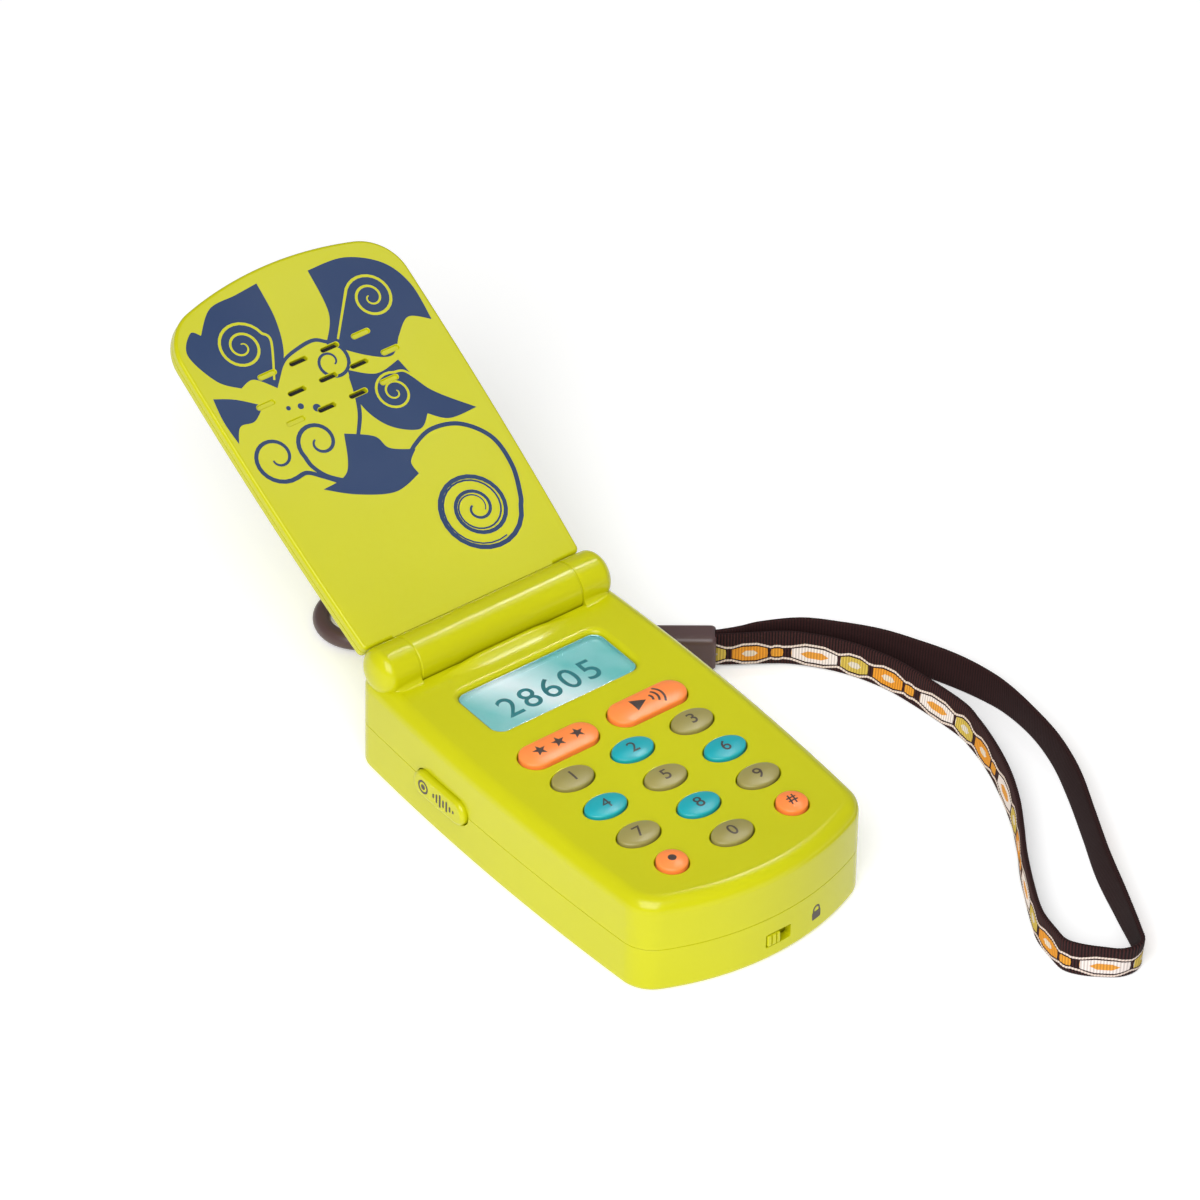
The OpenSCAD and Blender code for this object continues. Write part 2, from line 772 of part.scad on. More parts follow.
module lid_outer_cover() {
    rim = lid_t - lid_seam;
    crown = [for (f = [0.07, 0.3, 0.55, 0.75, 0.9]) [1.2, f, -lid_t - lid_crown * (1 - f * f)]];
    inside = [for (f = [0.07, 0.3, 0.55, 0.75, 0.9])
        [2.7, f, -lid_t + 1.4 - lid_crown * (1 - f * f)]];
    color(lime)
    lid_place()
    difference() {
        lid_block(concat(crown, [[1.2, 1, -lid_t], [0.35, 1, -lid_t + 0.35], [0, 1, -lid_t + 1.2],
            [0, 1, -lid_seam - 0.4], [0.25, 1, -lid_seam - 0.35], [0.25, 1, -lid_seam]]));
        lid_block(concat(inside, [[2.7, 1, -lid_t + 1.4], [1.7, 1, -lid_t + 1.8],
            [1.5, 1, -lid_t + rim - 0.3], [1.5, 1, -lid_seam + 1]]));
        translate([8, lid_root - 1, -3.6])
            cube([4, 4, 3]);
    }
}

module on_grille(depth)
    lid_place()
        translate([grille.x, grille.y, -depth])
            children();

module speaker_cloth()
    color([0.05, 0.05, 0.05])
        on_grille(lid_panel_t + 0.3)
            cylinder(r = speaker_r - 0.5, h = 0.25);

module speaker_frame()
    color([0.3, 0.3, 0.32])
        on_grille(5.05)
            rotate_extrude()
                polygon([[7.4, 0], [9, 0], [13, 1.6], [speaker_r, 1.6], [speaker_r, 3.2],
                    [13, 3.2], [13, 2.2], [9, 0.8], [7.4, 0.8]]);

module speaker_cone()
    color([0.12, 0.12, 0.12])
        on_grille(4.1)
            rotate_extrude()
                polygon([[0, 0.9], [2, 0.8], [4, 0.1], [4.4, 0], [12.6, 1.6], [12.6, 2],
                    [4.4, 0.4], [4, 0.5], [2, 1.2], [0, 1.3]]);

module speaker_magnet()
    color([0.45, 0.45, 0.47])
        on_grille(5.15)
            rotate_extrude()
                polygon([[0, 0], [6.8, 0], [7.1, 0.3], [7.1, 0.95], [0, 0.95]]);

module speaker_lead_lid() {
    route = [[12, 0, 0], [11, 1.4, -0.8], [10, 3.4, -2.2], [10, 6, -2.55], [10, 9, -2.6],
        [10, 14, -3], [11, 22, -3], [12, 32, -3.2], [12, 42, -3.4], [9, 50, -3.6],
        [6, 55, -3.8], [3, 57.4, -4]];
    color([0.7, 0.1, 0.1])
        lid_place()
            wire(route, 0.7, 6);
}

// ---- Keys ----

// Heights of a key's flange, stem and dome, as [inset, height]
function key_steps(top, crown) = [
    [-flange_out, flange_top - flange_t], [-flange_out, flange_top], [0, flange_top],
    [0, top - crown - 0.5], [0.12, top - crown - 0.2], [0.45, top - crown],
    [1.2, top - 0.55 * crown], [2.2, top - 0.15 * crown], [3.1, top]];

module number_key(digit) {
    p = key_place(digit);
    color(digit > 0 && digit % 2 == 0 ? teal : khaki)
        translate([p.x, p.y, 0])
            skin([for (s = key_steps(key_top, 0.45)) at_height(oval_ring(key_l, key_w, s[0]), s[1])]);
}

module corner_key(side) {
    p = corner_key_place(side);
    r = round_key_d / 2;
    steps = key_steps(tall_key_top, 0.6);
    color(orange)
        translate([p.x, p.y, 0])
            rotate_extrude()
                polygon(concat([[0, steps[0][1]]], [for (s = steps) [r - s[0], s[1]]], [[0, tall_key_top]]));
}

module pill_key(side)
    color(orange)
        translate([side * pill_x, pill_y, 0])
            skin([for (s = key_steps(tall_key_top, 0.6))
                at_height(rect_ring(pill_l, pill_w, pill_w / 2 - 0.01, s[0]), s[1])]);

module record_button() {
    flange_x = side_x - wall - 0.65;   // the wall bows in towards the button's ends
    color(lime)
    translate([0, record_y, record_z])
        rotate([90, 0, -90]) {
            skin([for (s = [[0, flange_x - 1.1], [0, side_x + record_proud - 1], [0.3, side_x + record_proud - 0.3],
                    [1, side_x + record_proud]])
                at_height(rect_ring(record_l, record_w, record_w / 2 - 0.01, s[0]), s[1])]);
            translate([0, 0, flange_x - 1.2])
                pill_prism(record_l + 2.4, record_w + 2.4, 1.2);
        }
}

module lock_slider() {
    plate_y = front_y + 3.2;
    color([0.86, 0.88, 0.3]) {
        translate([-6.5, plate_y, lock_z - 2.7])
            cube([12.9, 0.9, 5.4]);
        difference() {
            translate([-1.95, front_y - 0.3, lock_z - 1.6])
                cube([3.8, 3.8, 3.2]);
            for (x = [-0.95, 0.45])
                translate([x, front_y - 1, lock_z - 2])
                    cube([0.4, 1, 4]);
        }
        translate([-0.1, plate_y + 0.8, lock_z])
            rotate([-90, 0, 0])
                cylinder(r = 0.8, h = 1.4);
    }
}

// ---- Strap ----

// The ribbon stands on its long edge and leans a little where it bends
module strap_ribbon() {
    route = smooth_route(strap_route);
    bevel = 0.35;
    half = ribbon_t / 2;
    section = [[-half, bevel], [-half + bevel, 0], [half - bevel, 0], [half, bevel],
        [half, ribbon_w - bevel], [half - bevel, ribbon_w], [-half + bevel, ribbon_w],
        [-half, ribbon_w - bevel]];
    color([0.18, 0.1, 0.1])
        skin([for (i = [0:len(route) - 1])
            let(h = heading(route, i), p = route[i], lean = p[3] / ribbon_w,
                rise = sqrt(1 - lean * lean))
            [for (q = section) let(across = q[0] + lean * q[1])
                [p.x - across * h.y, p.y + across * h.x, p.z + rise * q[1]]]]);
}

module sleeve_place()
    translate([sleeve_mouth.x, sleeve_mouth.y, 0])
        rotate([0, 0, sleeve_angle])
            children();

module strap_sleeve() {
    length = sleeve_size.x;
    mid_z = sleeve_size.z / 2;
    color(brown)
    sleeve_place()
    difference() {
        union() {
            translate([0, 0, mid_z])
                rotate([0, 90, 0])
                    skin([for (s = [[1, -length], [0.3, 0.7 - length], [0, 1.5 - length], [0, -1.2],
                            [0.3, -0.4], [0.9, 0]])
                        at_height(rect_ring(sleeve_size.z, sleeve_size.y, 1.4, s[0]), s[1])]);
            translate([sleeve_hole, -3, mid_z - 2.2])
                cube([-sleeve_hole - length + 1, 6, 4.4]);
            translate([sleeve_hole, 0, mid_z - 2.2])
                cylinder(r = 3, h = 4.4);
        }
        translate([-6, -1.8, 0.4])
            cube([7, 3.6, ribbon_w + 0.4]);
        translate([sleeve_hole, 0, -1])
            cylinder(r = 2, h = 12);
    }
}

module strap_ring() {
    turn = [cos(sleeve_angle), sin(sleeve_angle)];
    lean = [cos(clip_angle), sin(clip_angle)];
    from = clip_end + clip_hole * cos(clip_tilt) * lean;
    to = sleeve_mouth + sleeve_hole * turn;
    straight = norm(to - from) - 2 * ring_r;
    color(steel)
        translate([from.x, from.y, ring_z])
            rotate([0, 0, atan2(to.y - from.y, to.x - from.x)])
                rotate([90, 0, 0])
                    translate([ring_r, 0, 0]) {
                        rotate([0, 0, 90])
                            rotate_extrude(angle = 180)
                                translate([ring_r, 0])
                                    circle(ring_wire, $fn = 24);
                        translate([straight, 0, 0])
                            rotate([0, 0, -90])
                                rotate_extrude(angle = 180)
                                    translate([ring_r, 0])
                                        circle(ring_wire, $fn = 24);
                        for (side = [-1, 1])
                            translate([0, side * ring_r, 0])
                                along_x(0)
                                    cylinder(r = ring_wire, h = straight, $fn = 24);
                    }
}

module clip_place()
    translate([clip_end.x, clip_end.y, bar_d / 2 + (clip_bend + bar_d / 2) * sin(clip_tilt)])
        rotate([0, -clip_tilt, clip_angle])
            children();

module clip_bar(side, from, to)
    translate([0, side * clip_bend, 0])
        along_x(from)
            cylinder(d = bar_d, h = to - from);

module clip_body() {
    color(brown)
    clip_place()
    difference() {
        union() {
            rotate([0, 0, 90])
                rotate_extrude(angle = 180)
                    translate([clip_bend, 0])
                        circle(d = bar_d);
            translate([clip_straight, 0, 0])
                rotate([0, 0, -90])
                    rotate_extrude(angle = 180)
                        translate([clip_bend, 0])
                            circle(d = bar_d);
            clip_bar(-1, 0, clip_straight);
            clip_bar(1, 0, gate_span[0] - 0.5);
            clip_bar(1, gate_pivot - 2.2, clip_straight);
            translate([clip_straight + clip_bend - 0.5, -3.4, -2.2])
                cube([clip_hole - clip_straight - clip_bend + 0.5, 6.8, 4.4]);
            translate([clip_hole, 0, -2.2])
                cylinder(r = 3.4, h = 4.4);
        }
        translate([clip_hole, 0, -5])
            cylinder(r = 2.2, h = 10);
        translate([gate_pivot - 3, clip_bend - 3, -0.95])
            cube([5.6, 6, 1.9]);
        translate([gate_pivot, clip_bend, -5])
            cylinder(r = 0.8 + fit, h = 10);
    }
}

module gate_pin()
    color(steel)
        clip_place()
            translate([gate_pivot, clip_bend, -bar_d / 2 + 0.05])
                cylinder(r = 0.8, h = bar_d - 0.1);

module clip_gate() {
    color(brown)
    clip_place()
    difference() {
        union() {
            clip_bar(1, gate_span[0], gate_span[1]);
            translate([gate_span[1] - 1, clip_bend - 2, -0.65])
                cube([gate_pivot - gate_span[1] + 1, 4, 1.3]);
            translate([gate_pivot, clip_bend, -0.65])
                cylinder(r = 2.1, h = 1.3);
        }
        translate([gate_pivot, clip_bend, -3])
            cylinder(r = 0.8 + fit, h = 6);
        for (i = [0:4])
            translate([12 + 2.2 * i, clip_bend + bar_d / 2 - 0.4, -3])
                cube([1, 1, 6]);
    }
}

// ---- Assembly ----

front_shell();
back_shell();
battery_door();
door_screw();
case_screws();
battery(0);  // battery_1
battery(1);  // battery_2
battery(2);  // battery_3
battery_springs();
battery_plates();
main_board();
board_screws();
sound_chip();
keypad_mat();
display_window();
display_panel();
display_backlight();
microphone();
record_board();
record_switch();
lock_switch();
hinge_pin_left();
hinge_sleeve_right();
speaker_lead_body();
strap_ribbon();
strap_sleeve();
strap_ring();
clip_body();
gate_pin();
clip_gate();
lid_inner_panel();
lid_outer_cover();
speaker_cloth();
speaker_frame();
speaker_cone();
speaker_magnet();
speaker_lead_lid();
number_key(0);  // key_0
number_key(1);  // key_1
number_key(2);  // key_2
number_key(3);  // key_3
number_key(4);  // key_4
number_key(5);  // key_5
number_key(6);  // key_6
number_key(7);  // key_7
number_key(8);  // key_8
number_key(9);  // key_9
corner_key(-1);  // key_dot
corner_key(1);  // key_hash
pill_key(-1);  // key_stars
pill_key(1);  // key_play
record_button();
lock_slider();
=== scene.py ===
import json
from math import asin, atan2, cos, degrees, pi, radians, sin, sqrt

import bmesh
import bpy
from mathutils import Matrix, Vector


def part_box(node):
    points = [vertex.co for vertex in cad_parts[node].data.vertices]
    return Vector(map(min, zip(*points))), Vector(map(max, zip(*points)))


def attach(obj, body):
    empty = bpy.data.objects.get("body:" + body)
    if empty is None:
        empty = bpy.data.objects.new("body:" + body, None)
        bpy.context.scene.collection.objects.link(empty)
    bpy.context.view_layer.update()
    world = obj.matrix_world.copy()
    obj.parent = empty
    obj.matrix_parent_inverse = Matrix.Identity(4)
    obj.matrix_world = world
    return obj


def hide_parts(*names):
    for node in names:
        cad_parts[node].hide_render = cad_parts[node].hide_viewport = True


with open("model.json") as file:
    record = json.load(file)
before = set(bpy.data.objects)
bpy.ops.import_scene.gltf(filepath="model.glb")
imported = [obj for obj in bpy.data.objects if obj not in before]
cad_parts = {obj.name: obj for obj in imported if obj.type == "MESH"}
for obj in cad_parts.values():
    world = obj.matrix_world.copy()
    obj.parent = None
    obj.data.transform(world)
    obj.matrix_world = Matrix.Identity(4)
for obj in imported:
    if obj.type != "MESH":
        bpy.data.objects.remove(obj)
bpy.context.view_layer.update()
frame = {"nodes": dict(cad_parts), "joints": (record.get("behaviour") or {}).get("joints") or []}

# Shapes are built in millimetres in the row frame and scaled to metres by settle().
MM = 0.001


# ---------------------------------------------------------------- the frame

def node_box(node):
    """Lowest and highest corner of a CAD node, in millimetres."""
    low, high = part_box(node)
    return low / MM, high / MM


def node_centre(node):
    low, high = node_box(node)
    return (low + high) / 2


def top_of(node):
    return node_box(node)[1].z


def spin(angle, axis):
    return Matrix.Rotation(angle, 4, axis)


def move(x, y=0.0, z=0.0):
    return Matrix.Translation((x, y, z))


def add_object(name, data):
    item = bpy.data.objects.new(name, data)
    bpy.context.scene.collection.objects.link(item)
    return item


lid_joint = next(j for j in frame["joints"] if j["name"] == "lid_hinge")
HINGE = Vector(lid_joint["pos_m"]) / MM
AXIS = HINGE.yz                # the hinge as a point in (y, z)
LID_TILT = radians(180 - lid_joint["range_deg"][1])
LID = move(*HINGE) @ spin(LID_TILT, "X")

shell_low, shell_high = node_box("front_shell")
BACK_DEPTH = 13.0              # from the phone's flat back to the seam
SEAM_Z = node_box("back_shell")[0].z + BACK_DEPTH
BODY_HALF = shell_high.x
BODY_TIP = -shell_low.y
BODY_TOP = 27.2
WALL = 2.2
ROOF = BODY_TOP - WALL
TOP_ROUND = 4.0
BARREL_R = shell_high.z - HINGE.z
BARREL_HALF = 24.3
KNUCKLE_START = BARREL_HALF + 0.4
KNUCKLE_END = 35.2
LID_HALF = node_box("lid_outer_cover")[1].x
LID_LENGTH = 106.0
LID_T = 5.0
LID_CROWN = 2.2
LID_SEAM = 2.3
LID_PANEL_T = 1.5
LID_ROOT = BARREL_R + 0.45
GRILLE = Vector((-1.4, 73.1))
SLOT_PITCH = (9.4, 6.85)
SLOT = (5.2, 1.2)
SPEAKER_COLLAR = (15.3, 14.15)
DISPLAY = Vector((43.5, 18.0))
DISPLAY_CORNER = 3.2
DISPLAY_Y = node_centre("display_panel").y
KEY = (11.3, 7.8)
ROUND_KEY = (7.8, 7.8)
PILL = (22.0, 8.4)
GAP = 0.3                      # round every key and button
RIM = 0.35                     # the rounding of their openings
PIN_BORE, SLEEVE_BORE = 1.55, 2.25
LEAD = (8, 12)                 # where the speaker lead leaves the barrel, along X

# half width, where widest, bow of the sides, tip, bow of the tip, tip corner, root, root corner
BODY_PLAN = (BODY_HALF, -8, 700, BODY_TIP, 70, 9.5, -BODY_TIP, 6.3)
LID_PLAN = (LID_HALF, 72, 1280, LID_LENGTH, 95, 12.5, LID_ROOT, 1.5)
LID_MIDDLE = Vector((0, 58))


# ---------------------------------------------------------------- camera

CAMERA_AT = (-0.9943, -1.2461, 1.3378)
AZIMUTH, ELEVATION, ROLL = radians(-38.386), radians(38.499), radians(1.153)
FOCAL_LENGTH = 259.4


def add_camera():
    """Looks down across the phone's left front corner with a long lens."""
    data = bpy.data.cameras.new("camera")
    data.sensor_width = 36
    data.lens = FOCAL_LENGTH
    data.clip_start = 0.05
    data.clip_end = 20
    camera = add_object("camera", data)
    back = Vector((sin(AZIMUTH) * cos(ELEVATION), -cos(AZIMUTH) * cos(ELEVATION),
                   sin(ELEVATION)))
    right = Vector((cos(AZIMUTH), sin(AZIMUTH), 0))
    up = back.cross(right)
    across = right * cos(ROLL) + up * sin(ROLL)
    upward = up * cos(ROLL) - right * sin(ROLL)
    camera.matrix_world = (move(*CAMERA_AT)
                           @ Matrix((across, upward, back)).transposed().to_4x4())
    bpy.context.scene.camera = camera


add_camera()


# ---------------------------------------------------------------- mesh helpers

def circle(count):
    """Cosines and sines at equal steps round a circle."""
    return [(cos(a), sin(a)) for a in (2 * pi * i / count for i in range(count))]


def quarter(steps=6):
    """Cosines and sines from 0 to 90 degrees."""
    return [(cos(a), sin(a)) for a in (pi / 2 * i / steps for i in range(steps + 1))]


def arc(centre, r, start, end, steps, last=True):
    """Points along an arc, in degrees, with or without its last one."""
    angles = [radians(start + (end - start) * i / steps) for i in range(steps + last)]
    return [Vector(centre) + r * Vector((cos(a), sin(a))) for a in angles]


def flat_points(*points):
    return [Vector(p) for p in points]


def heading(a, b):
    return degrees(atan2(b.y - a.y, b.x - a.x))


def slab_ring(plan, inset=0.0):
    """A slab's outline moved inwards: bowed sides, a bowed tip and round corners."""
    half, widest, bow, tip_y, tip_bow, tip_r, root_y, root_r = plan
    side = Vector((half - bow, widest))
    tip = Vector((0, tip_y - tip_bow))
    side_r, corner_r = bow - tip_r, tip_bow - tip_r
    span = (tip - side).length
    along = (side_r ** 2 - corner_r ** 2 + span ** 2) / (2 * span)
    u = (tip - side) / span
    corner = side + along * u + sqrt(side_r ** 2 - along ** 2) * Vector((-u.y, u.x))
    rise = root_y + root_r - side.y
    root = Vector((side.x + sqrt((bow - root_r) ** 2 - rise ** 2), root_y + root_r))

    a_root, a_side, a_tip = heading(side, root), heading(side, corner), heading(tip, corner)
    right = []
    for centre, r, start, end, steps in (
            (root, root_r, -90, a_root, 12), (side, bow, a_root, a_side, 30),
            (corner, tip_r, a_side, a_tip, 18), (tip, tip_bow, a_tip, 90, 18)):
        right += arc(centre, r - inset, start, end, steps, False)
    middle = tip + Vector((0, tip_bow - inset))
    return right + [middle] + [Vector((-p.x, p.y)) for p in reversed(right)]


def oval_ring(size, inset=0.0, points=72):
    a, b = size[0] / 2 - inset, size[1] / 2 - inset
    return [Vector((a * c, b * s)) for c, s in circle(points)]


def rect_ring(size, r, inset=0.0, steps=10):
    """A rectangle with round corners; a pill when r is half its height."""
    w, h = size[0] / 2 - r, size[1] / 2 - r
    ring = []
    for k, (sx, sy) in enumerate(((1, 1), (-1, 1), (-1, -1), (1, -1))):
        ring += arc((sx * w, sy * h), r - inset, 90 * k, 90 * k + 90, steps)
    return ring


def pill_ring(size, inset=0.0, steps=16):
    return rect_ring(size, size[1] / 2 - 0.001, inset, steps)


def disc(x, y, r, points=40):
    return [Vector((x + r * c, y + r * s)) for c, s in circle(points)]


def at_height(ring, z):
    return [Vector((p.x, p.y, z)) for p in ring]


def at_x(outline, x):
    """An outline drawn in (y, z), put at x."""
    return [Vector((x, p.x, p.y)) for p in outline]


def round_over(r, z, steps=10):
    """Insets and heights of a quarter round that ends in a flat top at z."""
    return [(r * (1 - c), z - r + r * s) for c, s in quarter(steps)]


def rims(low, high, edge):
    """Insets and heights of a plate's two round rims, or a hole's when edge is negative."""
    rim = [(edge * (1 - s), abs(edge) * (1 - c)) for c, s in quarter()]
    return [(i, low + z) for i, z in rim] + [(i, high - z) for i, z in reversed(rim)]


def make(name, verts, faces):
    mesh = bpy.data.meshes.new(name)
    mesh.from_pydata([tuple(v) for v in verts], [], faces)
    mesh.update()
    return add_object(name, mesh)


def skin(name, rings, capped=True):
    """A surface through rings of equal length, lowest first, closed at both ends."""
    n = len(rings[0])
    verts = [v for ring in rings for v in ring]
    faces = [(k * n + i, k * n + (i + 1) % n, (k + 1) * n + (i + 1) % n, (k + 1) * n + i)
             for k in range(len(rings) - 1) for i in range(n)]
    if capped:
        last = (len(rings) - 1) * n
        faces.append(tuple(reversed(range(n))))
        faces.append(tuple(range(last, last + n)))
    return make(name, verts, faces)


def stack(name, ring_at, steps):
    """A solid whose outline ring_at(inset) climbs through (inset, height) steps."""
    return skin(name, [at_height(ring_at(inset), z) for inset, z in steps])


def prism(name, ring, low, high):
    return skin(name, [at_height(ring, low), at_height(ring, high)])


def body_block(name, steps):
    return put(stack(name, lambda inset: slab_ring(BODY_PLAN, inset), steps), spin(pi, "Z"))


def lid_block(name, steps):
    """A lid-shaped solid through (inset, shrink, height) steps."""
    rings = []
    for inset, shrink, z in steps:
        ring = [LID_MIDDLE + shrink * (p - LID_MIDDLE) for p in slab_ring(LID_PLAN, inset)]
        rings.append(at_height(ring, z))
    return skin(name, rings)


def turned(name, profile, matrix=None, segments=96):
    """A solid of revolution about Z through (radius, height) points, bottom to top."""
    piece = skin(name, [[Vector((max(r, 0.001) * c, max(r, 0.001) * s, z))
                         for c, s in circle(segments)] for r, z in profile])
    return put(piece, matrix) if matrix else piece


def along_x(x, y=0.0, z=0.0):
    return move(x, y, z) @ spin(pi / 2, "Y")


def axle(name, r, start, end):
    """A rod along X on the hinge axis."""
    return turned(name, [(r, 0), (r, end - start)], along_x(start, *AXIS))


def slab(name, low, high):
    """A plain block, used as a cutter."""
    (x0, y0, z0), (x1, y1, z1) = low, high
    return prism(name, flat_points((x0, y0), (x1, y0), (x1, y1), (x0, y1)), z0, z1)


def put(piece, matrix):
    piece.data.transform(matrix)
    return piece


def shift(piece, x=0.0, y=0.0, z=0.0):
    return put(piece, move(x, y, z))


def bake(piece):
    """Applies the piece's modifiers to its mesh."""
    graph = bpy.context.evaluated_depsgraph_get()
    mesh = bpy.data.meshes.new_from_object(piece.evaluated_get(graph))
    old = piece.data
    piece.modifiers.clear()
    piece.data = mesh
    bpy.data.meshes.remove(old)
    return piece


def boolean(target, tools, operation="DIFFERENCE"):
    """Cuts, joins or intersects with each tool in turn, and removes it."""
    for tool in tools:
        modifier = target.modifiers.new("cut", "BOOLEAN")
        modifier.operation = operation
        modifier.solver = "EXACT"
        modifier.object = tool
        bake(target)
        bpy.data.objects.remove(tool)
    return target


def join(name, pieces):
    """One object from several, keeping their meshes apart as loose parts."""
    verts, faces = [], []
    for piece in pieces:
        start = len(verts)
        verts += [v.co.copy() for v in piece.data.vertices]
        faces += [tuple(start + i for i in f.vertices) for f in piece.data.polygons]
        bpy.data.objects.remove(piece)
    return make(name, verts, faces)


def smooth(piece):
    """Smooth shading with sharp edges, and flat faces kept flat."""
    mesh = piece.data
    mesh.polygons.foreach_set("use_smooth", [True] * len(mesh.polygons))
    mesh.set_sharp_from_angle(angle=radians(32))
    modifier = piece.modifiers.new("normals", "WEIGHTED_NORMAL")
    modifier.keep_sharp = True
    modifier.weight = 60
    return bake(piece)


def settle(piece, body, material, replaces=(), matrix=None):
    """Puts a finished piece in place: transform, metres, shading, material and body."""
    if matrix:
        put(piece, matrix)
    smooth(put(piece, Matrix.Scale(MM, 4)))
    piece.data.materials.clear()
    piece.data.materials.append(material)
    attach(piece, body)
    if replaces:
        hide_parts(*replaces)
    return piece


# ---------------------------------------------------------------- material helpers

class Graph:
    """A material's node tree with short ways to add and link nodes."""

    def __init__(self, name):
        self.material = bpy.data.materials.new(name)
        self.material.use_nodes = True
        self.tree = self.material.node_tree
        self.shader = self.tree.nodes["Principled BSDF"]

    def node(self, kind, **values):
        n = self.tree.nodes.new("ShaderNode" + kind)
        for key, value in values.items():
            setattr(n, key, value)
        return n

    def link(self, source, target):
        self.tree.links.new(source, target)

    def feed(self, socket, value):
        if hasattr(value, "is_linked"):
            self.link(value, socket)
        else:
            socket.default_value = value

    def math(self, operation, a, b=0.0, clamp=False):
        n = self.node("Math", operation=operation, use_clamp=clamp)
        self.feed(n.inputs[0], a)
        self.feed(n.inputs[1], b)
        return n.outputs[0]

    def place(self, scale=(1, 1, 1)):
        n = self.node("Mapping")
        n.inputs["Scale"].default_value = scale
        self.link(self.node("TexCoord").outputs["Object"], n.inputs["Vector"])
        return n.outputs["Vector"]

    def noise(self, scale, detail=2.0, roughness=0.5, vector=None):
        n = self.node("TexNoise")
        n.inputs["Scale"].default_value = scale
        n.inputs["Detail"].default_value = detail
        n.inputs["Roughness"].default_value = roughness
        self.link(vector or self.place(), n.inputs["Vector"])
        return n.outputs["Fac"]

    def spread(self, value, low, high, from_low=0.3, from_high=0.7):
        """Maps a noise value to a range."""
        n = self.node("MapRange")
        self.feed(n.inputs["Value"], value)
        for key, v in (("From Min", from_low), ("From Max", from_high),
                       ("To Min", low), ("To Max", high)):
            n.inputs[key].default_value = v
        return n.outputs["Result"]

    def mix(self, factor, a, b, blend="MIX"):
        n = self.node("Mix", data_type="RGBA", blend_type=blend)
        self.feed(n.inputs[0], factor)
        self.feed(n.inputs[6], a)
        self.feed(n.inputs[7], b)
        return n.outputs[2]

    def ramp(self, value, stops, interpolation="LINEAR"):
        n = self.node("ValToRGB")
        self.feed(n.inputs["Fac"], value)
        elements = n.color_ramp.elements
        n.color_ramp.interpolation = interpolation
        elements.remove(elements[1])
        elements[0].position, elements[0].color = stops[0]
        for position, colour in stops[1:]:
            elements.new(position).color = colour
        return n.outputs["Color"]

    def bump(self, height, distance, strength=1.0):
        n = self.node("Bump")
        n.inputs["Distance"].default_value = distance
        n.inputs["Strength"].default_value = strength
        self.feed(n.inputs["Height"], height)
        self.link(n.outputs["Normal"], self.shader.inputs["Normal"])

    def set(self, **values):
        for key, value in values.items():
            self.feed(self.shader.inputs[key.replace("_", " ")], value)


def srgb(r, g, b):
    """Linear colour from 8-bit sRGB values."""
    def one(v):
        v /= 255
        return v / 12.92 if v <= 0.04045 else ((v + 0.055) / 1.055) ** 2.4
    return (one(r), one(g), one(b), 1.0)


def moulded(name, colour, shade, roughness=0.27, grain=0.00001, gloss=0.5, wear=0.2):
    """Moulded plastic: flow marks in the tone, uneven polish, fine skin, rubbed edges."""
    g = Graph(name)
    colour, shade = srgb(*colour), srgb(*shade)
    tone = g.mix(g.spread(g.noise(26, 3), 0, 1), colour, shade)
    edge = g.spread(g.node("NewGeometry").outputs["Pointiness"], 0, wear, 0.53, 0.62)
    pale = tuple(min(1.0, 0.75 * c + 0.25) for c in colour[:3]) + (1.0,)
    g.set(Base_Color=g.mix(edge, tone, pale))
    smudge = g.spread(g.noise(40, 3, 0.5), roughness - 0.02, roughness + 0.03)
    g.set(Roughness=smudge, IOR=1.5, Specular_IOR_Level=gloss)
    g.bump(g.noise(1500, 2), grain, 0.3)
    return g.material


# ---------------------------------------------------------------- ribbon

# The route that the ribbon's solid follows, in millimetres: x, y, lift, and how far the
# upper edge leans to the left of travel
ROUTE = [
    (53.9, 37.2, 0.6, 0), (56.9, 34.8, 0.6, 0), (62, 31.2, 0.6, 0.2), (70.6, 25.6, 0.4, 0.6),
    (75.5, 20.9, 0.2, 0.8), (80.4, 14.4, 0, 0.8), (84, 6.6, 0, 0.9), (86.3, -2.4, 0, 1.2),
    (88.1, -20, 0, 1.4), (87.4, -28, 0, 1), (84.9, -37.5, 0, 0.9), (81.1, -47, 0, 1.1),
    (76.5, -56.5, 0, 0.7), (71, -65.3, 0, 0.3), (65.6, -73, 0, 0.2), (59.5, -83, 0, 0.1),
    (54.6, -92, 0, 0.2), (52.9, -99.4, 0, 0.1), (52.5, -103.8, 0, 0), (54.4, -107.4, 0, -0.1),
    (58, -111, 0, -0.5), (62, -113.8, 0, -1.1), (66.3, -114, 0, -1.1), (69.5, -110.8, 0, 0),
    (74.5, -98, 0, -1.1), (80.2, -83.8, 0, -1.9), (87.1, -70.5, 0, -1.8), (94, -56.8, 0, -1.8),
    (99.3, -44.6, 0, -0.6), (102.3, -33, 0, 0.5), (102.8, -22, 0, 0.2), (101.2, -13.5, 0, -0.6),
    (98.6, -5.5, 0, -1.2), (95.2, 2.6, 0, -1.2), (90.6, 12, 0, -1), (84.4, 20.4, 0, -0.8),
    (77.8, 27.2, 0.2, -0.6), (69, 31.8, 0.5, -0.3), (63.4, 33.6, 0.6, -0.1), (57.9, 36, 0.6, 0),
    (54.9, 38.2, 0.6, 0)]
RIBBON_W = 9.4
RIBBON_T = 1.2
RIB_PITCH = 0.75


def blend(a, b, c, d, t):
    """The smooth curve through four points, a share t of the way from b to c."""
    return 0.5 * (2 * b + t * (c - a) + t * t * (2 * a - 5 * b + 4 * c - d)
                  + t ** 3 * (3 * b - a - 3 * c + d))


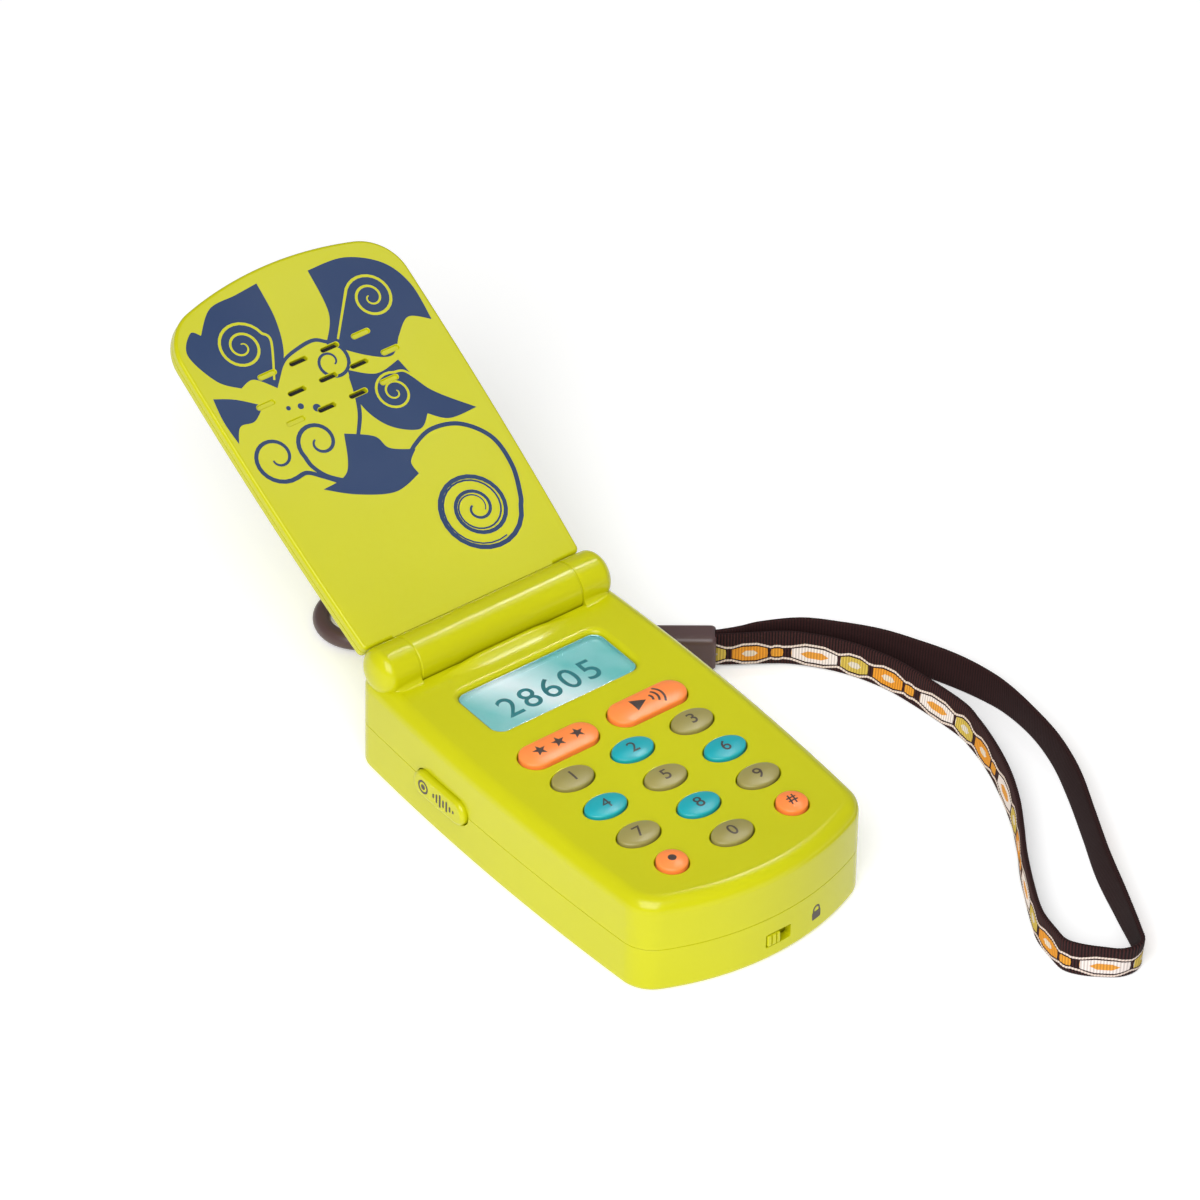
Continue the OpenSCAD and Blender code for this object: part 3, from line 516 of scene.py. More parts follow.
def open_curve(points, steps=10):
    pts = [Vector(p) for p in points]
    last = len(pts) - 1
    return [blend(pts[max(i - 1, 0)], pts[i], pts[i + 1], pts[min(i + 2, last)], k / steps)
            for i in range(last) for k in range(steps)] + [pts[-1]]


def even_route(route, step):
    """Points at equal distances along the smooth route."""
    dense = open_curve(route, 40)
    lengths = [0.0]
    for a, b in zip(dense, dense[1:]):
        lengths.append(lengths[-1] + (b - a).to_3d().length)
    count = round(lengths[-1] / step)
    points, k = [], 0
    for i in range(count + 1):
        s = lengths[-1] * i / count
        while k < len(dense) - 2 and lengths[k + 1] < s:
            k += 1
        t = (s - lengths[k]) / max(lengths[k + 1] - lengths[k], 1e-9)
        points.append(dense[k].lerp(dense[k + 1], t))
    return points, lengths[-1]


def ribbon_section(swell):
    """Points round the ribbon's section, (across, up, v), with v running up the outer face."""
    half, r = RIBBON_T / 2 * swell, 0.35
    edge = [(0.25 * half, 0.0), (0.75 * half, 0.3 * r), (half, r)]
    side = edge + [(half, r + (RIBBON_W - 2 * r) * i / 8) for i in range(1, 8)]
    side += [(w, RIBBON_W - up) for w, up in reversed(edge)]
    return [(-w, up) for w, up in side] + side[::-1]


def make_ribbon():
    """The woven ribbon on its edge, with real cross ribs, and u and v in millimetres."""
    points, length = even_route(ROUTE, RIB_PITCH / 4)
    rings, middles = [], []
    for i, p in enumerate(points):
        a, b = points[max(i - 3, 0)], points[min(i + 3, len(points) - 1)]
        h = Vector((b.x - a.x, b.y - a.y)).normalized()
        lean = p.w / RIBBON_W
        rise = sqrt(1 - lean * lean)

        def spot(across, up):
            side = across + lean * up
            return Vector((p.x - side * h.y, p.y + side * h.x, p.z + rise * up))

        section = ribbon_section(0.93 + 0.07 * cos(2 * pi * i / 4))
        rings.append([spot(across, up) for across, up in section])
        middles.append(spot(0, RIBBON_W / 2))
    ribbon = skin("woven_ribbon", rings)
    n, half = len(section), len(section) // 2
    layer = ribbon.data.uv_layers.new(name="weave")
    for face in ribbon.data.polygons:
        ks = [v % n for v in face.vertices]
        face.material_index = 0 if max(ks) < half else 1
        for loop in face.loop_indices:
            ring, k = divmod(ribbon.data.loops[loop].vertex_index, n)
            v = section[k][1] + (0 if k < half else 20)
            layer.data[loop].uv = (ring * length / (len(rings) - 1), v)
    return ribbon, middles, length


def weave(g):
    """The cross ribs and the warp threads of the ribbon, and its coordinates in millimetres."""
    uv = g.node("SeparateXYZ")
    g.link(g.node("UVMap", uv_map="weave").outputs[0], uv.inputs[0])
    u, v = uv.outputs[0], uv.outputs[1]

    def wave(x, pitch):
        swing = g.math("SINE", g.math("MULTIPLY", x, 2 * pi / pitch))
        return g.math("ADD", g.math("MULTIPLY", swing, 0.5), 0.5)

    ribs = wave(u, RIB_PITCH)
    cloth = g.math("ADD", g.math("MULTIPLY", ribs, 0.7), g.math("MULTIPLY", wave(v, 0.45), 0.3))
    return u, v, ribs, cloth


def finish_cloth(g, cloth, height):
    g.set(Roughness=g.spread(cloth, 0.75, 0.95, 0, 1), Specular_IOR_Level=0.2)
    g.bump(height, 0.00012, 0.8)
    return g.material


def ribbon_plain():
    g = Graph("ribbon_inner_face")
    cloth = weave(g)[-1]
    # Painted shade: the colour darkens in the valleys between the ribs and the threads
    tone = g.mix(cloth, srgb(18, 6, 6), srgb(56, 28, 28))
    g.set(Base_Color=g.mix(g.spread(g.noise(300, 4), 0, 0.4), tone, srgb(38, 18, 18)))
    return finish_cloth(g, cloth, cloth)


def grey(value):
    return (value, value, value, 1)


def ribbon_pattern():
    """Two wavy cream lines round a row of long six-sided motifs in four colours."""
    g = Graph("ribbon_outer_face")
    u, v, ribs, cloth = weave(g)
    t = g.math("FRACT", g.math("DIVIDE", g.math("ADD", u, MOTIF_START), MOTIF_REPEAT))
    away = g.math("ABSOLUTE", g.math("SUBTRACT", v, MOTIF_MIDDLE))
    top = 4.0                      # the heights in the ramps are fractions of this

    def six_sided(start, end, run, low, high):
        return [(start, low), (start + run, high), (end - run, high), (end, low)]

    outline, inner, line, colours, hearts = [], [(0, 0)], [], [], []
    for start, end, low, high, colour, half, rise, heart in MOTIFS:
        middle, run = (start + end) / 2, (end - start) * 0.3
        if start > 0:
            outline.append((start - 0.02, 0))
        outline += six_sided(start, end, run, low, high) + [(end + 0.02, 0), (end + 0.7, 0)]
        if half:
            inner += six_sided(middle - half, middle + half, half / 2, 0, rise)
        line += six_sided(start, end, run, low + 0.65, high + 0.75)
        colours.append((start / MOTIF_REPEAT, colour))
        hearts.append((start / MOTIF_REPEAT, heart))

    def height_at(stops):
        ramp = g.ramp(t, [(x / MOTIF_REPEAT, grey(h / top)) for x, h in stops])
        return g.math("MULTIPLY", ramp, top)

    in_motif = g.math("LESS_THAN", away, height_at(outline))
    in_heart = g.math("LESS_THAN", away, height_at(inner))
    from_line = g.math("ABSOLUTE", g.math("SUBTRACT", away, height_at(line)))
    on_line = g.math("LESS_THAN", from_line, 0.3)
    # Painted shade: the brown ground darkens in the valleys between the cross ribs
    picture = g.mix(ribs, srgb(18, 6, 7), srgb(60, 30, 30))
    picture = g.mix(in_motif, picture, g.ramp(t, colours, "CONSTANT"))
    picture = g.mix(in_heart, picture, g.ramp(t, hearts, "CONSTANT"))
    picture = g.mix(on_line, picture, srgb(226, 208, 196))
    # Painted shade: the whole picture is darkened again in the rib valleys
    g.set(Base_Color=g.mix(1.0, picture, g.spread(ribs, 0.6, 1.0, 0, 1), "MULTIPLY"))
    raised = g.math("MULTIPLY", g.math("MAXIMUM", in_motif, on_line), 0.5)
    return finish_cloth(g, cloth, g.math("ADD", cloth, raised))


MOTIF_START = 28.3
MOTIF_REPEAT = 36.2
MOTIF_MIDDLE = 3.5
# start, end, half height at the ends and in the middle, colour,
# half length, half height and colour of the patch inside
MOTIFS = [
    (0.0, 8.8, 1.3, 2.1, srgb(222, 146, 44), 2.0, 0.85, srgb(222, 206, 186)),
    (9.7, 12.6, 1.0, 1.2, srgb(220, 150, 48), 0.0, 0.0, srgb(220, 150, 48)),
    (14.8, 26.4, 1.2, 2.1, srgb(232, 220, 214), 3.6, 1.0, srgb(222, 152, 60)),
    (27.2, 34.7, 1.3, 2.1, srgb(204, 176, 78), 1.8, 0.85, srgb(216, 206, 190))]

ribbon, ribbon_middles, ribbon_length = make_ribbon()
put(ribbon, Matrix.Scale(MM, 4))
ribbon.data.materials.append(ribbon_pattern())
ribbon.data.materials.append(ribbon_plain())
ribbon.data.polygons.foreach_set("use_smooth", [True] * len(ribbon.data.polygons))
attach(ribbon, "body")
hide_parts("strap_ribbon")


# ---------------------------------------------------------------- materials

LIME = moulded("lime_plastic_look", (189, 188, 8), (185, 184, 6), 0.22, gloss=0.33, wear=0)
KHAKI = moulded("khaki_plastic_look", (150, 140, 78), (142, 132, 72), 0.34)
TEAL = moulded("teal_plastic_look", (14, 160, 170), (12, 152, 164), 0.34)
ORANGE = moulded("orange_plastic_look", (250, 138, 66), (246, 130, 60), 0.34)
BROWN = moulded("brown_plastic_look", (84, 62, 62), (74, 54, 54), 0.36)
INK = moulded("dark_ink_look", (60, 46, 44), (54, 42, 42), 0.45, wear=0)
NAVY = moulded("navy_ink_look", (18, 46, 88), (24, 52, 92), 0.3, gloss=0.36, wear=0)


def metal(name, colour, roughness):
    g = Graph(name)
    brushed = g.noise(900, 3, 0.6, g.place((1, 0.05, 1)))
    g.set(Base_Color=g.mix(g.spread(brushed, 0, 1), srgb(*colour), srgb(150, 152, 156)))
    g.set(Roughness=g.spread(brushed, roughness - 0.06, roughness + 0.1), Metallic=1.0)
    g.bump(brushed, 0.00001, 0.4)
    return g.material


STEEL = metal("steel_look", (196, 198, 202), 0.28)
MAGNET = metal("magnet_look", (120, 122, 128), 0.42)
CAN = metal("aluminium_look", (214, 216, 220), 0.34)
BLACK = moulded("black_plastic_look", (34, 34, 36), (26, 26, 28), 0.4)
SILICONE = moulded("silicone_look", (222, 222, 214), (210, 210, 202), 0.55)
WIRE = moulded("wire_jacket_look", (176, 34, 32), (160, 28, 28), 0.42)
LABEL = moulded("battery_label_look", (196, 96, 42), (178, 82, 38), 0.3)


def board_material():
    """Green lacquer over a faint net of tracks."""
    g = Graph("circuit_board_look")
    cells = g.node("TexVoronoi", feature="DISTANCE_TO_EDGE", distance="CHEBYCHEV")
    cells.inputs["Scale"].default_value = 260
    g.link(g.place(), cells.inputs["Vector"])
    track = g.math("LESS_THAN", cells.outputs["Distance"], 0.08)
    base = g.mix(g.spread(g.noise(60, 3), 0, 1), srgb(18, 92, 50), srgb(14, 78, 44))
    g.set(Base_Color=g.mix(track, base, srgb(52, 138, 84)))
    g.set(Roughness=g.spread(g.noise(200, 3), 0.3, 0.42))
    g.bump(track, 0.00003)
    return g.material


def cloth_material():
    """Black speaker cloth with a square weave."""
    g = Graph("speaker_cloth_look")
    waves = [g.node("TexWave", wave_type="BANDS", bands_direction=way) for way in "XY"]
    for n in waves:
        n.inputs["Scale"].default_value = 420
        g.link(g.place(), n.inputs["Vector"])
    threads = g.math("MULTIPLY", waves[0].outputs["Fac"], waves[1].outputs["Fac"])
    g.set(Base_Color=g.mix(threads, srgb(14, 14, 16), srgb(48, 48, 52)))
    g.set(Roughness=g.spread(threads, 0.75, 0.95, 0, 1))
    g.bump(threads, 0.00008)
    return g.material


def glow_and_painted_highlight_material(name, colour, shade, strength):
    """A glowing sheet: bluish, brightest in a soft band that is a painted highlight, with a little
    unevenness. The glow stands in for the backlight behind the panel and for the light that the
    lens in front holds back.
    """
    g = Graph(name)
    x = g.node("SeparateXYZ")
    g.link(g.place(), x.inputs[0])
    lean = g.math("ADD", x.outputs[0], g.math("MULTIPLY", x.outputs[1], 0.6))
    # The soft diagonal band is a painted highlight, a reflection laid into both the colour and the
    # glow
    off = g.math("ABSOLUTE", g.math("SUBTRACT", lean, (0.6 * DISPLAY_Y - 3) * MM))
    band = g.spread(off, 1, 0, 0.001, 0.014)
    tone = g.mix(g.math("ADD", g.math("MULTIPLY", band, 0.8), g.spread(g.noise(90), 0, 0.2)),
                 shade, colour)
    g.set(Base_Color=tone, Emission_Color=tone, Emission_Strength=strength, Roughness=0.3)
    return g.material


# The display panel glows in place of lamp light under the lens and carries a painted highlight
# across it
SCREEN = glow_and_painted_highlight_material("display_glass_look", srgb(246, 250, 250), srgb(98, 190, 186), 0.42)
GUIDE = glow_and_painted_highlight_material("light_guide_look", srgb(250, 252, 255), srgb(225, 240, 250), 0.5)
SEGMENT = moulded("display_segment_look", (16, 156, 162), (12, 146, 152), 0.4, wear=0)


def window_material():
    g = Graph("clear_window_look")
    scuff = g.spread(g.noise(240, 5, 0.65), 0.02, 0.07)
    g.set(Base_Color=g.mix(g.spread(g.noise(40), 0, 1), srgb(244, 252, 253), srgb(236, 248, 250)))
    g.set(Roughness=scuff, Transmission_Weight=1.0, IOR=1.45)
    return g.material


WINDOW = window_material()

NODE_LOOKS = {
    LIME: ["battery_door"],
    STEEL: ["door_screw", "case_screws", "battery_springs", "battery_plates", "board_screws",
            "hinge_pin_left", "gate_pin", "speaker_frame"],
    LABEL: ["battery_1", "battery_2", "battery_3"],
    board_material(): ["main_board", "record_board"],
    BLACK: ["sound_chip", "record_switch", "lock_switch", "hinge_sleeve_right"],
    SILICONE: ["keypad_mat"],
    SCREEN: ["display_panel"],
    GUIDE: ["display_backlight"],
    CAN: ["microphone"],
    WIRE: ["speaker_lead_body", "speaker_lead_lid"],
    cloth_material(): ["speaker_cloth", "speaker_cone"],
    MAGNET: ["speaker_magnet"]}
for look, nodes in NODE_LOOKS.items():
    for name in nodes:
        materials = frame["nodes"][name].data.materials
        materials.clear()
        materials.append(look)


# ---------------------------------------------------------------- cutters

def flared(name, ring_at, low, top, r):
    """A cutter that leaves a softly rounded rim where it breaks out at height top."""
    rim = [(-inset, z) for inset, z in round_over(r, top, 6)]
    return stack(name, ring_at, [(0, low)] + rim + [(-r, top + 1)])


def rod(name, x, y, r, low, high, segments=48):
    """An upright cylinder."""
    return shift(turned(name, [(r, low), (r, high)], None, segments), x, y)


def rods(spots, r, low, high):
    return [rod("rod", x, y, r, low, high) for x, y in spots]


NUMBERS = ["key_%d" % digit for digit in range(10)]
CORNERS = ["key_dot", "key_hash"]
PILLS = ["key_stars", "key_play"]


def key_ring(name, inset=0.0):
    if name in PILLS:
        return pill_ring(PILL, inset)
    return oval_ring(ROUND_KEY if name in CORNERS else KEY, inset)


def over(name, piece):
    """Moves a piece drawn at the origin over a node's middle."""
    middle = node_centre(name)
    return shift(piece, middle.x, middle.y)


def key_openings():
    return join("key_openings", [
        over(name, flared("cut", lambda inset: key_ring(name, inset - GAP),
                          ROOF - 1, BODY_TOP, RIM)) for name in NUMBERS + CORNERS + PILLS])


def display_opening():
    wide, deep = 1.7, 1.1
    steps = [(0, ROOF - 1)]
    steps += [(wide * (c - 1), BODY_TOP - deep * (1 - s)) for c, s in quarter(8)]
    steps.append((-wide, BODY_TOP + 1))
    cut = stack("cut", lambda inset: rect_ring(DISPLAY, DISPLAY_CORNER, inset), steps)
    return shift(cut, 0, DISPLAY_Y)


BUTTON = node_centre("record_button")
BUTTON_FACE = -node_box("record_button")[0].x
BUTTON_SIZE = (20.0, 7.0)
SIDE_X = BUTTON_FACE - 1.5
RECORD_DOT_X = -5.6
# Local X to the front, local Y up, local Z out through the left wall
SIDE = Matrix(((0, 0, -1, 0), (-1, 0, 0, BUTTON.y), (0, 1, 0, BUTTON.z), (0, 0, 0, 1)))


def record_opening():
    return put(flared("cut", lambda inset: pill_ring(BUTTON_SIZE, inset - GAP),
                      SIDE_X - WALL - 2, SIDE_X + 0.1, RIM), SIDE)


# ---------------------------------------------------------------- body shells

CASE_POSTS = [(-28.5, -47.5), (28.5, -47.5), (-29, 38), (29, 38)]
BOARD_BOSSES = [(-22.5, 15.2), (22.5, 15.2), (-12, -48.9), (12, -48.9)]
BOARD_TOP = top_of("main_board")
POST_R = 3.2
CASE_BORE, BOARD_BORE = 1.05, 0.85
TROUGH_R = BARREL_R + 0.35
BROW_HALF, BROW_RISE, BROW_LEVEL = 20, 1.4, 7
SKIN = [(0, SEAM_Z)] + round_over(TOP_ROUND, BODY_TOP)


def make_knuckle(side):
    """A fixed end of the hinge, with a domed outer end."""
    dome, rim, length = 3.6, 5.8, KNUCKLE_END - KNUCKLE_START
    profile = [(BARREL_R - 0.3, 0), (BARREL_R - 0.08, 0.08), (BARREL_R, 0.3)]
    profile += [(BARREL_R - rim + rim * c, length - dome + dome * s) for c, s in quarter(12)]
    profile.append((0.5, length))
    turn = spin(pi if side < 0 else 0, "Z")
    return turned("knuckle", profile, move(0, *AXIS) @ turn @ along_x(KNUCKLE_START))


def meeting(reach, z):
    """Y in front of the hinge axis at height z, at a distance of reach from the axis."""
    return HINGE.y - sqrt(reach * reach - (z - HINGE.z) ** 2)


def make_saddle(side):
    """The fillet between a knuckle and the roof, fading out at its outer end."""
    rings = []
    for k in range(13):
        t = k / 12
        r = 0.05 + 1.6 * sqrt(1 - t * t)
        middle = Vector((meeting(BARREL_R + r, BODY_TOP + r), BODY_TOP + r))
        outline = arc(middle, r, -90, heading(middle, AXIS), 10)
        outline += flat_points(AXIS, (AXIS.x, BODY_TOP - 0.5), (middle.x, BODY_TOP - 0.5))
        x = side * (KNUCKLE_START + 0.05 + (KNUCKLE_END - KNUCKLE_START - 3.0) * t)
        rings.append(at_x(outline, x))
    return skin("saddle", rings if side < 0 else rings[::-1])


def trough_lip():
    """A cutter that rounds the edge where the roof drops into the trough."""
    r = 2.2
    middle = Vector((meeting(TROUGH_R + r, BODY_TOP - r), BODY_TOP - r))
    outline = arc(middle, r, 90, heading(middle, AXIS), 16)
    outline += flat_points((AXIS.x - 3, BODY_TOP - 1), (AXIS.x - 3, BODY_TOP + 1),
                           (middle.x, BODY_TOP + 1))
    return skin("lip", [at_x(outline, KNUCKLE_START), at_x(outline, -KNUCKLE_START)])


def make_brow():
    """The roof's rise to a low crest in front of the barrel, fading out at both ends."""
    rings = []
    for k in range(49):
        x = BROW_HALF * (k / 24 - 1)
        fade = 0.5 + 0.5 * cos(pi * min(1, max(0, (abs(x) - BROW_LEVEL)
                                             / (BROW_HALF - BROW_LEVEL))))
        rise = 0.02 + BROW_RISE * fade
        crest_r, fillet_r = 2.2 - 0.7 * fade, 8.0
        z = BODY_TOP + rise - crest_r
        crest = Vector((meeting(TROUGH_R + crest_r, z), z))
        reach = fillet_r + crest_r
        slope = degrees(asin((reach - rise) / reach))
        fillet = Vector((crest.x - sqrt(rise * (2 * reach - rise)), BODY_TOP + fillet_r))
        outline = arc(fillet, fillet_r, -90, -slope, 12)
        outline += arc(crest, crest_r, 180 - slope, heading(crest, AXIS), 14)
        outline += flat_points((AXIS.x - 4, outline[-1].y), (AXIS.x - 4, ROOF + 0.6),
                               (fillet.x, ROOF + 0.6))
        rings.append(at_x(outline, x))
    return skin("brow", rings[::-1])


def make_front_shell():
    """The roof and upper walls, with the hinge's trough and knuckles and every opening."""
    shell = body_block("front_shell_moulding", SKIN)
    cavity = body_block("cavity", [(WALL, SEAM_Z - 1), (WALL, ROOF - 1),
                                   (WALL + 0.3, ROOF - 0.3), (WALL + 1, ROOF)])
    boolean(shell, [cavity])
    cradle = axle("cradle", TROUGH_R + 1.8, -KNUCKLE_START - 1.8, KNUCKLE_START + 1.8)
    boolean(cradle, [body_block("outside", SKIN)], "INTERSECT")
    posts = rods(CASE_POSTS, POST_R - 0.2, SEAM_Z, ROOF + 0.1)
    posts += rods(BOARD_BOSSES, 1.9, BOARD_TOP, ROOF + 0.1)
    knuckles = join("knuckles", [make_knuckle(-1), make_knuckle(1)])
    boolean(shell, [cradle, knuckles, make_saddle(-1), make_saddle(1), join("posts", posts)],
            "UNION")
    trough = axle("trough", TROUGH_R, -KNUCKLE_START, KNUCKLE_START)
    above = slab("above", (-KNUCKLE_START, HINGE.y, ROOF),
                 (KNUCKLE_START, HINGE.y + 10, ROOF + 10))
    boolean(shell, [trough_lip()])
    boolean(shell, [make_brow()], "UNION")
    boolean(shell, [trough, above])
    bores = [axle("bore", PIN_BORE, -KNUCKLE_END + 1.5, -KNUCKLE_START + 1),
             axle("bore", SLEEVE_BORE, KNUCKLE_START - 1, KNUCKLE_END - 1.5),
             rod("bore", 31, HINGE.y, 1.5, HINGE.z - BARREL_R - 4, HINGE.z)]
    bores += rods(CASE_POSTS, CASE_BORE, SEAM_Z - 1, SEAM_Z + 8)
    bores += rods(BOARD_BOSSES, BOARD_BORE, BOARD_TOP - 1, BOARD_TOP + 4.5)
    boolean(shell, bores + [key_openings(), display_opening(), record_opening()])
    settle(shell, "body", LIME, ["front_shell"])


DOOR = node_box("battery_door")[1]
DOOR_HALF, DOOR_REAR, DOOR_FRONT, DOOR_T = DOOR.x, DOOR.y, -43.0, 1.6
DOOR_SCREW_Y = node_centre("door_screw").y
BAY = (24.6, -41.0, -7.0, 14.1)        # half width, front, rear, top
FRONT = -BODY_TIP
LOCK_Z = node_centre("lock_slider").z
LOCK_X = 1.5
LOCK_WINDOW = (7.5, 3.8)
# Local Y up, local Z out through the chin
CHIN = Matrix(((1, 0, 0, LOCK_X), (0, 0, -1, 0), (0, 1, 0, LOCK_Z), (0, 0, 0, 1)))


def door_plate(margin, low, high):
    """A plate with the battery door's outline, grown by a margin."""
    size = (2 * (DOOR_HALF + margin), DOOR_REAR - DOOR_FRONT + 2 * margin)
    return shift(prism("seat", rect_ring(size, 2), low, high), 0, (DOOR_FRONT + DOOR_REAR) / 2)


def battery_bay():
    half, front, rear, top = BAY
    wall = 1.2
    walls = slab("walls", (-half - wall, front - wall, 0.5), (half + wall, rear + wall, top + wall))
    return [walls, door_plate(1.6, 0.5, 3.4), rod("ear", 0, DOOR_SCREW_Y, 5.2, 0.5, 3.4),
            rod("post", 0, DOOR_SCREW_Y, POST_R, 0.5, 11)]


def battery_bay_cuts():
    half, front, rear, top = BAY
    slack = 0.15
    return [door_plate(slack, -1, DOOR_T + slack),
            slab("bay", (-half, front, 0.5), (half, rear, top)),
            rod("ear", 0, DOOR_SCREW_Y, 4 + slack, -1, 2.8 + slack),
            rod("hole", 0, DOOR_SCREW_Y, CASE_BORE, 1, 10)]


EYE_X, EYE_Y = 20.3, 66.0
EYE_HOLE = (9.5, 5.8)
EYE_RIM = 1.4
EYE_T = 3.0


def lanyard_eye():
    """An upright plate with a half-round end and a long hole, behind the hinge."""
    edge = 0.5
    r = EYE_HOLE[1] / 2 + EYE_RIM + 0.2
    end = EYE_Y + EYE_HOLE[0] / 2 + 2.3 - r

    def ring_at(inset):
        tip = arc((end, r), r - inset, -90, 90, 24)
        return flat_points((BODY_TIP - 1, inset), *tip, (BODY_TIP - 1, 2 * r - inset))

    def upright(piece, y=0.0, z=0.0):
        """Turns an outline drawn in (y, z) and stacked along x to its place."""
        return put(piece, Matrix(((0, 0, 1, EYE_X - EYE_T / 2), (1, 0, 0, y), (0, 1, 0, z),
                                  (0, 0, 0, 1))))

    eye = upright(stack("eye", ring_at, rims(0, EYE_T, edge)))
    hole = stack("hole", lambda inset: pill_ring(EYE_HOLE, inset),
                 [(-edge, -1)] + rims(0, EYE_T, -edge) + [(-edge, EYE_T + 1)])
    return boolean(eye, [upright(hole, EYE_Y, EYE_RIM + EYE_HOLE[1] / 2)])


def make_back_shell():
    """The flat back and lower walls, with the seam's groove, battery bay, posts and eye."""
    bottom = [(1.5 * (1 - c), 1.5 * (1 - s)) for c, s in reversed(quarter(8))]
    shell = body_block("back_shell_moulding", bottom + [
        (0, SEAM_Z - 0.25), (0.04, SEAM_Z - 0.2), (0.16, SEAM_Z - 0.18), (0.16, SEAM_Z)])
    cavity = body_block("cavity", [(WALL + 1, WALL), (WALL + 0.3, WALL + 0.3),
                                   (WALL, WALL + 1), (WALL, SEAM_Z + 1)])
    boolean(shell, [cavity])
    lip = body_block("lip", [(WALL + 0.1, SEAM_Z - 2), (WALL + 0.1, SEAM_Z + 1.4)])
    hollow = body_block("hollow", [(WALL + 1.1, SEAM_Z - 3), (WALL + 1.1, SEAM_Z + 2)])
    notch = slab("notch", (-2 * BODY_HALF, BUTTON.y - 13, SEAM_Z - 4),
                 (0, BUTTON.y + 13, SEAM_Z + 4))
    boolean(lip, [hollow, notch] + rods(CASE_POSTS, POST_R, SEAM_Z - 0.1, SEAM_Z + 3))
    posts = rods(CASE_POSTS, POST_R, 0.5, SEAM_Z - 0.1)
    ribs = [slab("rib", (x, y, 1), (x + 1.2, y + 3, 9)) for x in (-28.9, -26.3) for y in (13, 29.4)]
    ribs.append(slab("rib", (-4, FRONT + 4.6, 1), (7, FRONT + 8, LOCK_Z - 2.7)))
    boolean(shell, [lip] + battery_bay() + posts + ribs + [lanyard_eye()], "UNION")
    cuts = battery_bay_cuts()
    for x, y in CASE_POSTS:
        cuts += [rod("well", x, y, 2.7, -1, 3.6, 96), rod("hole", x, y, 1.15, 0, SEAM_Z + 1)]
    for c, s in circle(3):
        cuts.append(rod("sound", -14 + 1.2 * c, -50 + 1.2 * s, 0.5, -1, WALL + 1, 24))
    window = flared("window", lambda inset: rect_ring(LOCK_WINDOW, 0.35, inset),
                    -FRONT - WALL - 1, -FRONT + 0.05, 0.3)
    boolean(shell, cuts + [record_opening(), put(window, CHIN)])
    settle(shell, "body", LIME, ["back_shell"])


make_front_shell()
make_back_shell()


# ---------------------------------------------------------------- lid

def grille(make_one, even, odd):
    """Cutters for the speaker's slots, at these columns of the middle and the outer rows."""
    return [shift(make_one(), GRILLE.x + column * SLOT_PITCH[0], GRILLE.y + row * SLOT_PITCH[1])
            for row in (-1, 0, 1) for column in (odd if row else even)]


def slot_cut(depth):
    return flared("slot", lambda inset: pill_ring(SLOT, inset, 8), -depth, 0, 0.2)


def make_lid_inner_panel():
    """The lid's printed side in its own frame: face, barrel, speaker collar and slots."""
    edge = [(inset, 1, z) for inset, z in round_over(0.9, 0)]
    panel = lid_block("lid_inner_moulding", [(0, 1, 0.05 - LID_SEAM)] + edge)
    boolean(panel, [lid_block("hollow", [(LID_PANEL_T, 1, -LID_SEAM - 1),
                                         (LID_PANEL_T, 1, -LID_PANEL_T)])])
    half = BARREL_HALF - 0.1
    root = slab("root", (-half, 0, 0.1 - LID_T), (half, LID_ROOT - 0.1, 0))
    step = slab("step", (-half, 0, 0.05 - LID_SEAM), (half, LID_ROOT + 2, 0))
    profile = [(BARREL_R - inset, x) for inset, x in rims(0, 2 * BARREL_HALF, 0.35)]
    barrel = turned("barrel", profile, along_x(-BARREL_HALF), 128)
    outside, inside = SPEAKER_COLLAR
    collar = turned("collar", [(outside, -LID_PANEL_T - 1.4), (outside, 0.1 - LID_PANEL_T)])
    boolean(collar, [turned("inside", [(inside, -6), (inside, 0)])])
    shift(collar, GRILLE.x, GRILLE.y)
    hubs = axle("hubs", BARREL_R - 0.3, -KNUCKLE_START + 0.04, KNUCKLE_START - 0.04)
    shift(hubs, 0, -HINGE.y, -HINGE.z)
    boolean(panel, [root, step, barrel, hubs, collar], "UNION")
    bores = [turned("bore", [(r, 0), (r, run)], along_x(x)) for r, x, run in
             ((4.6, -16, 32), (PIN_BORE, -BARREL_HALF - 1, 10), (SLEEVE_BORE, 15, 10))]
    channel = slab("channel", (LEAD[0], 0, -3.6), (LEAD[1], LID_ROOT + 4, -1.5))
    crease = slab("crease", (-half - 1, LID_ROOT - 0.5, -0.3), (half + 1, LID_ROOT - 0.05, 1))
    slots = grille(lambda: slot_cut(2), (-1, 0, 1), (-0.5, 0.5))
    slots += grille(lambda: slot_cut(0.5), (-2, 2), (-1.5, 1.5))
    boolean(panel, bores + [channel, crease, join("slots", slots)])
    settle(panel, "lid", LIME, ["lid_inner_panel"], LID)


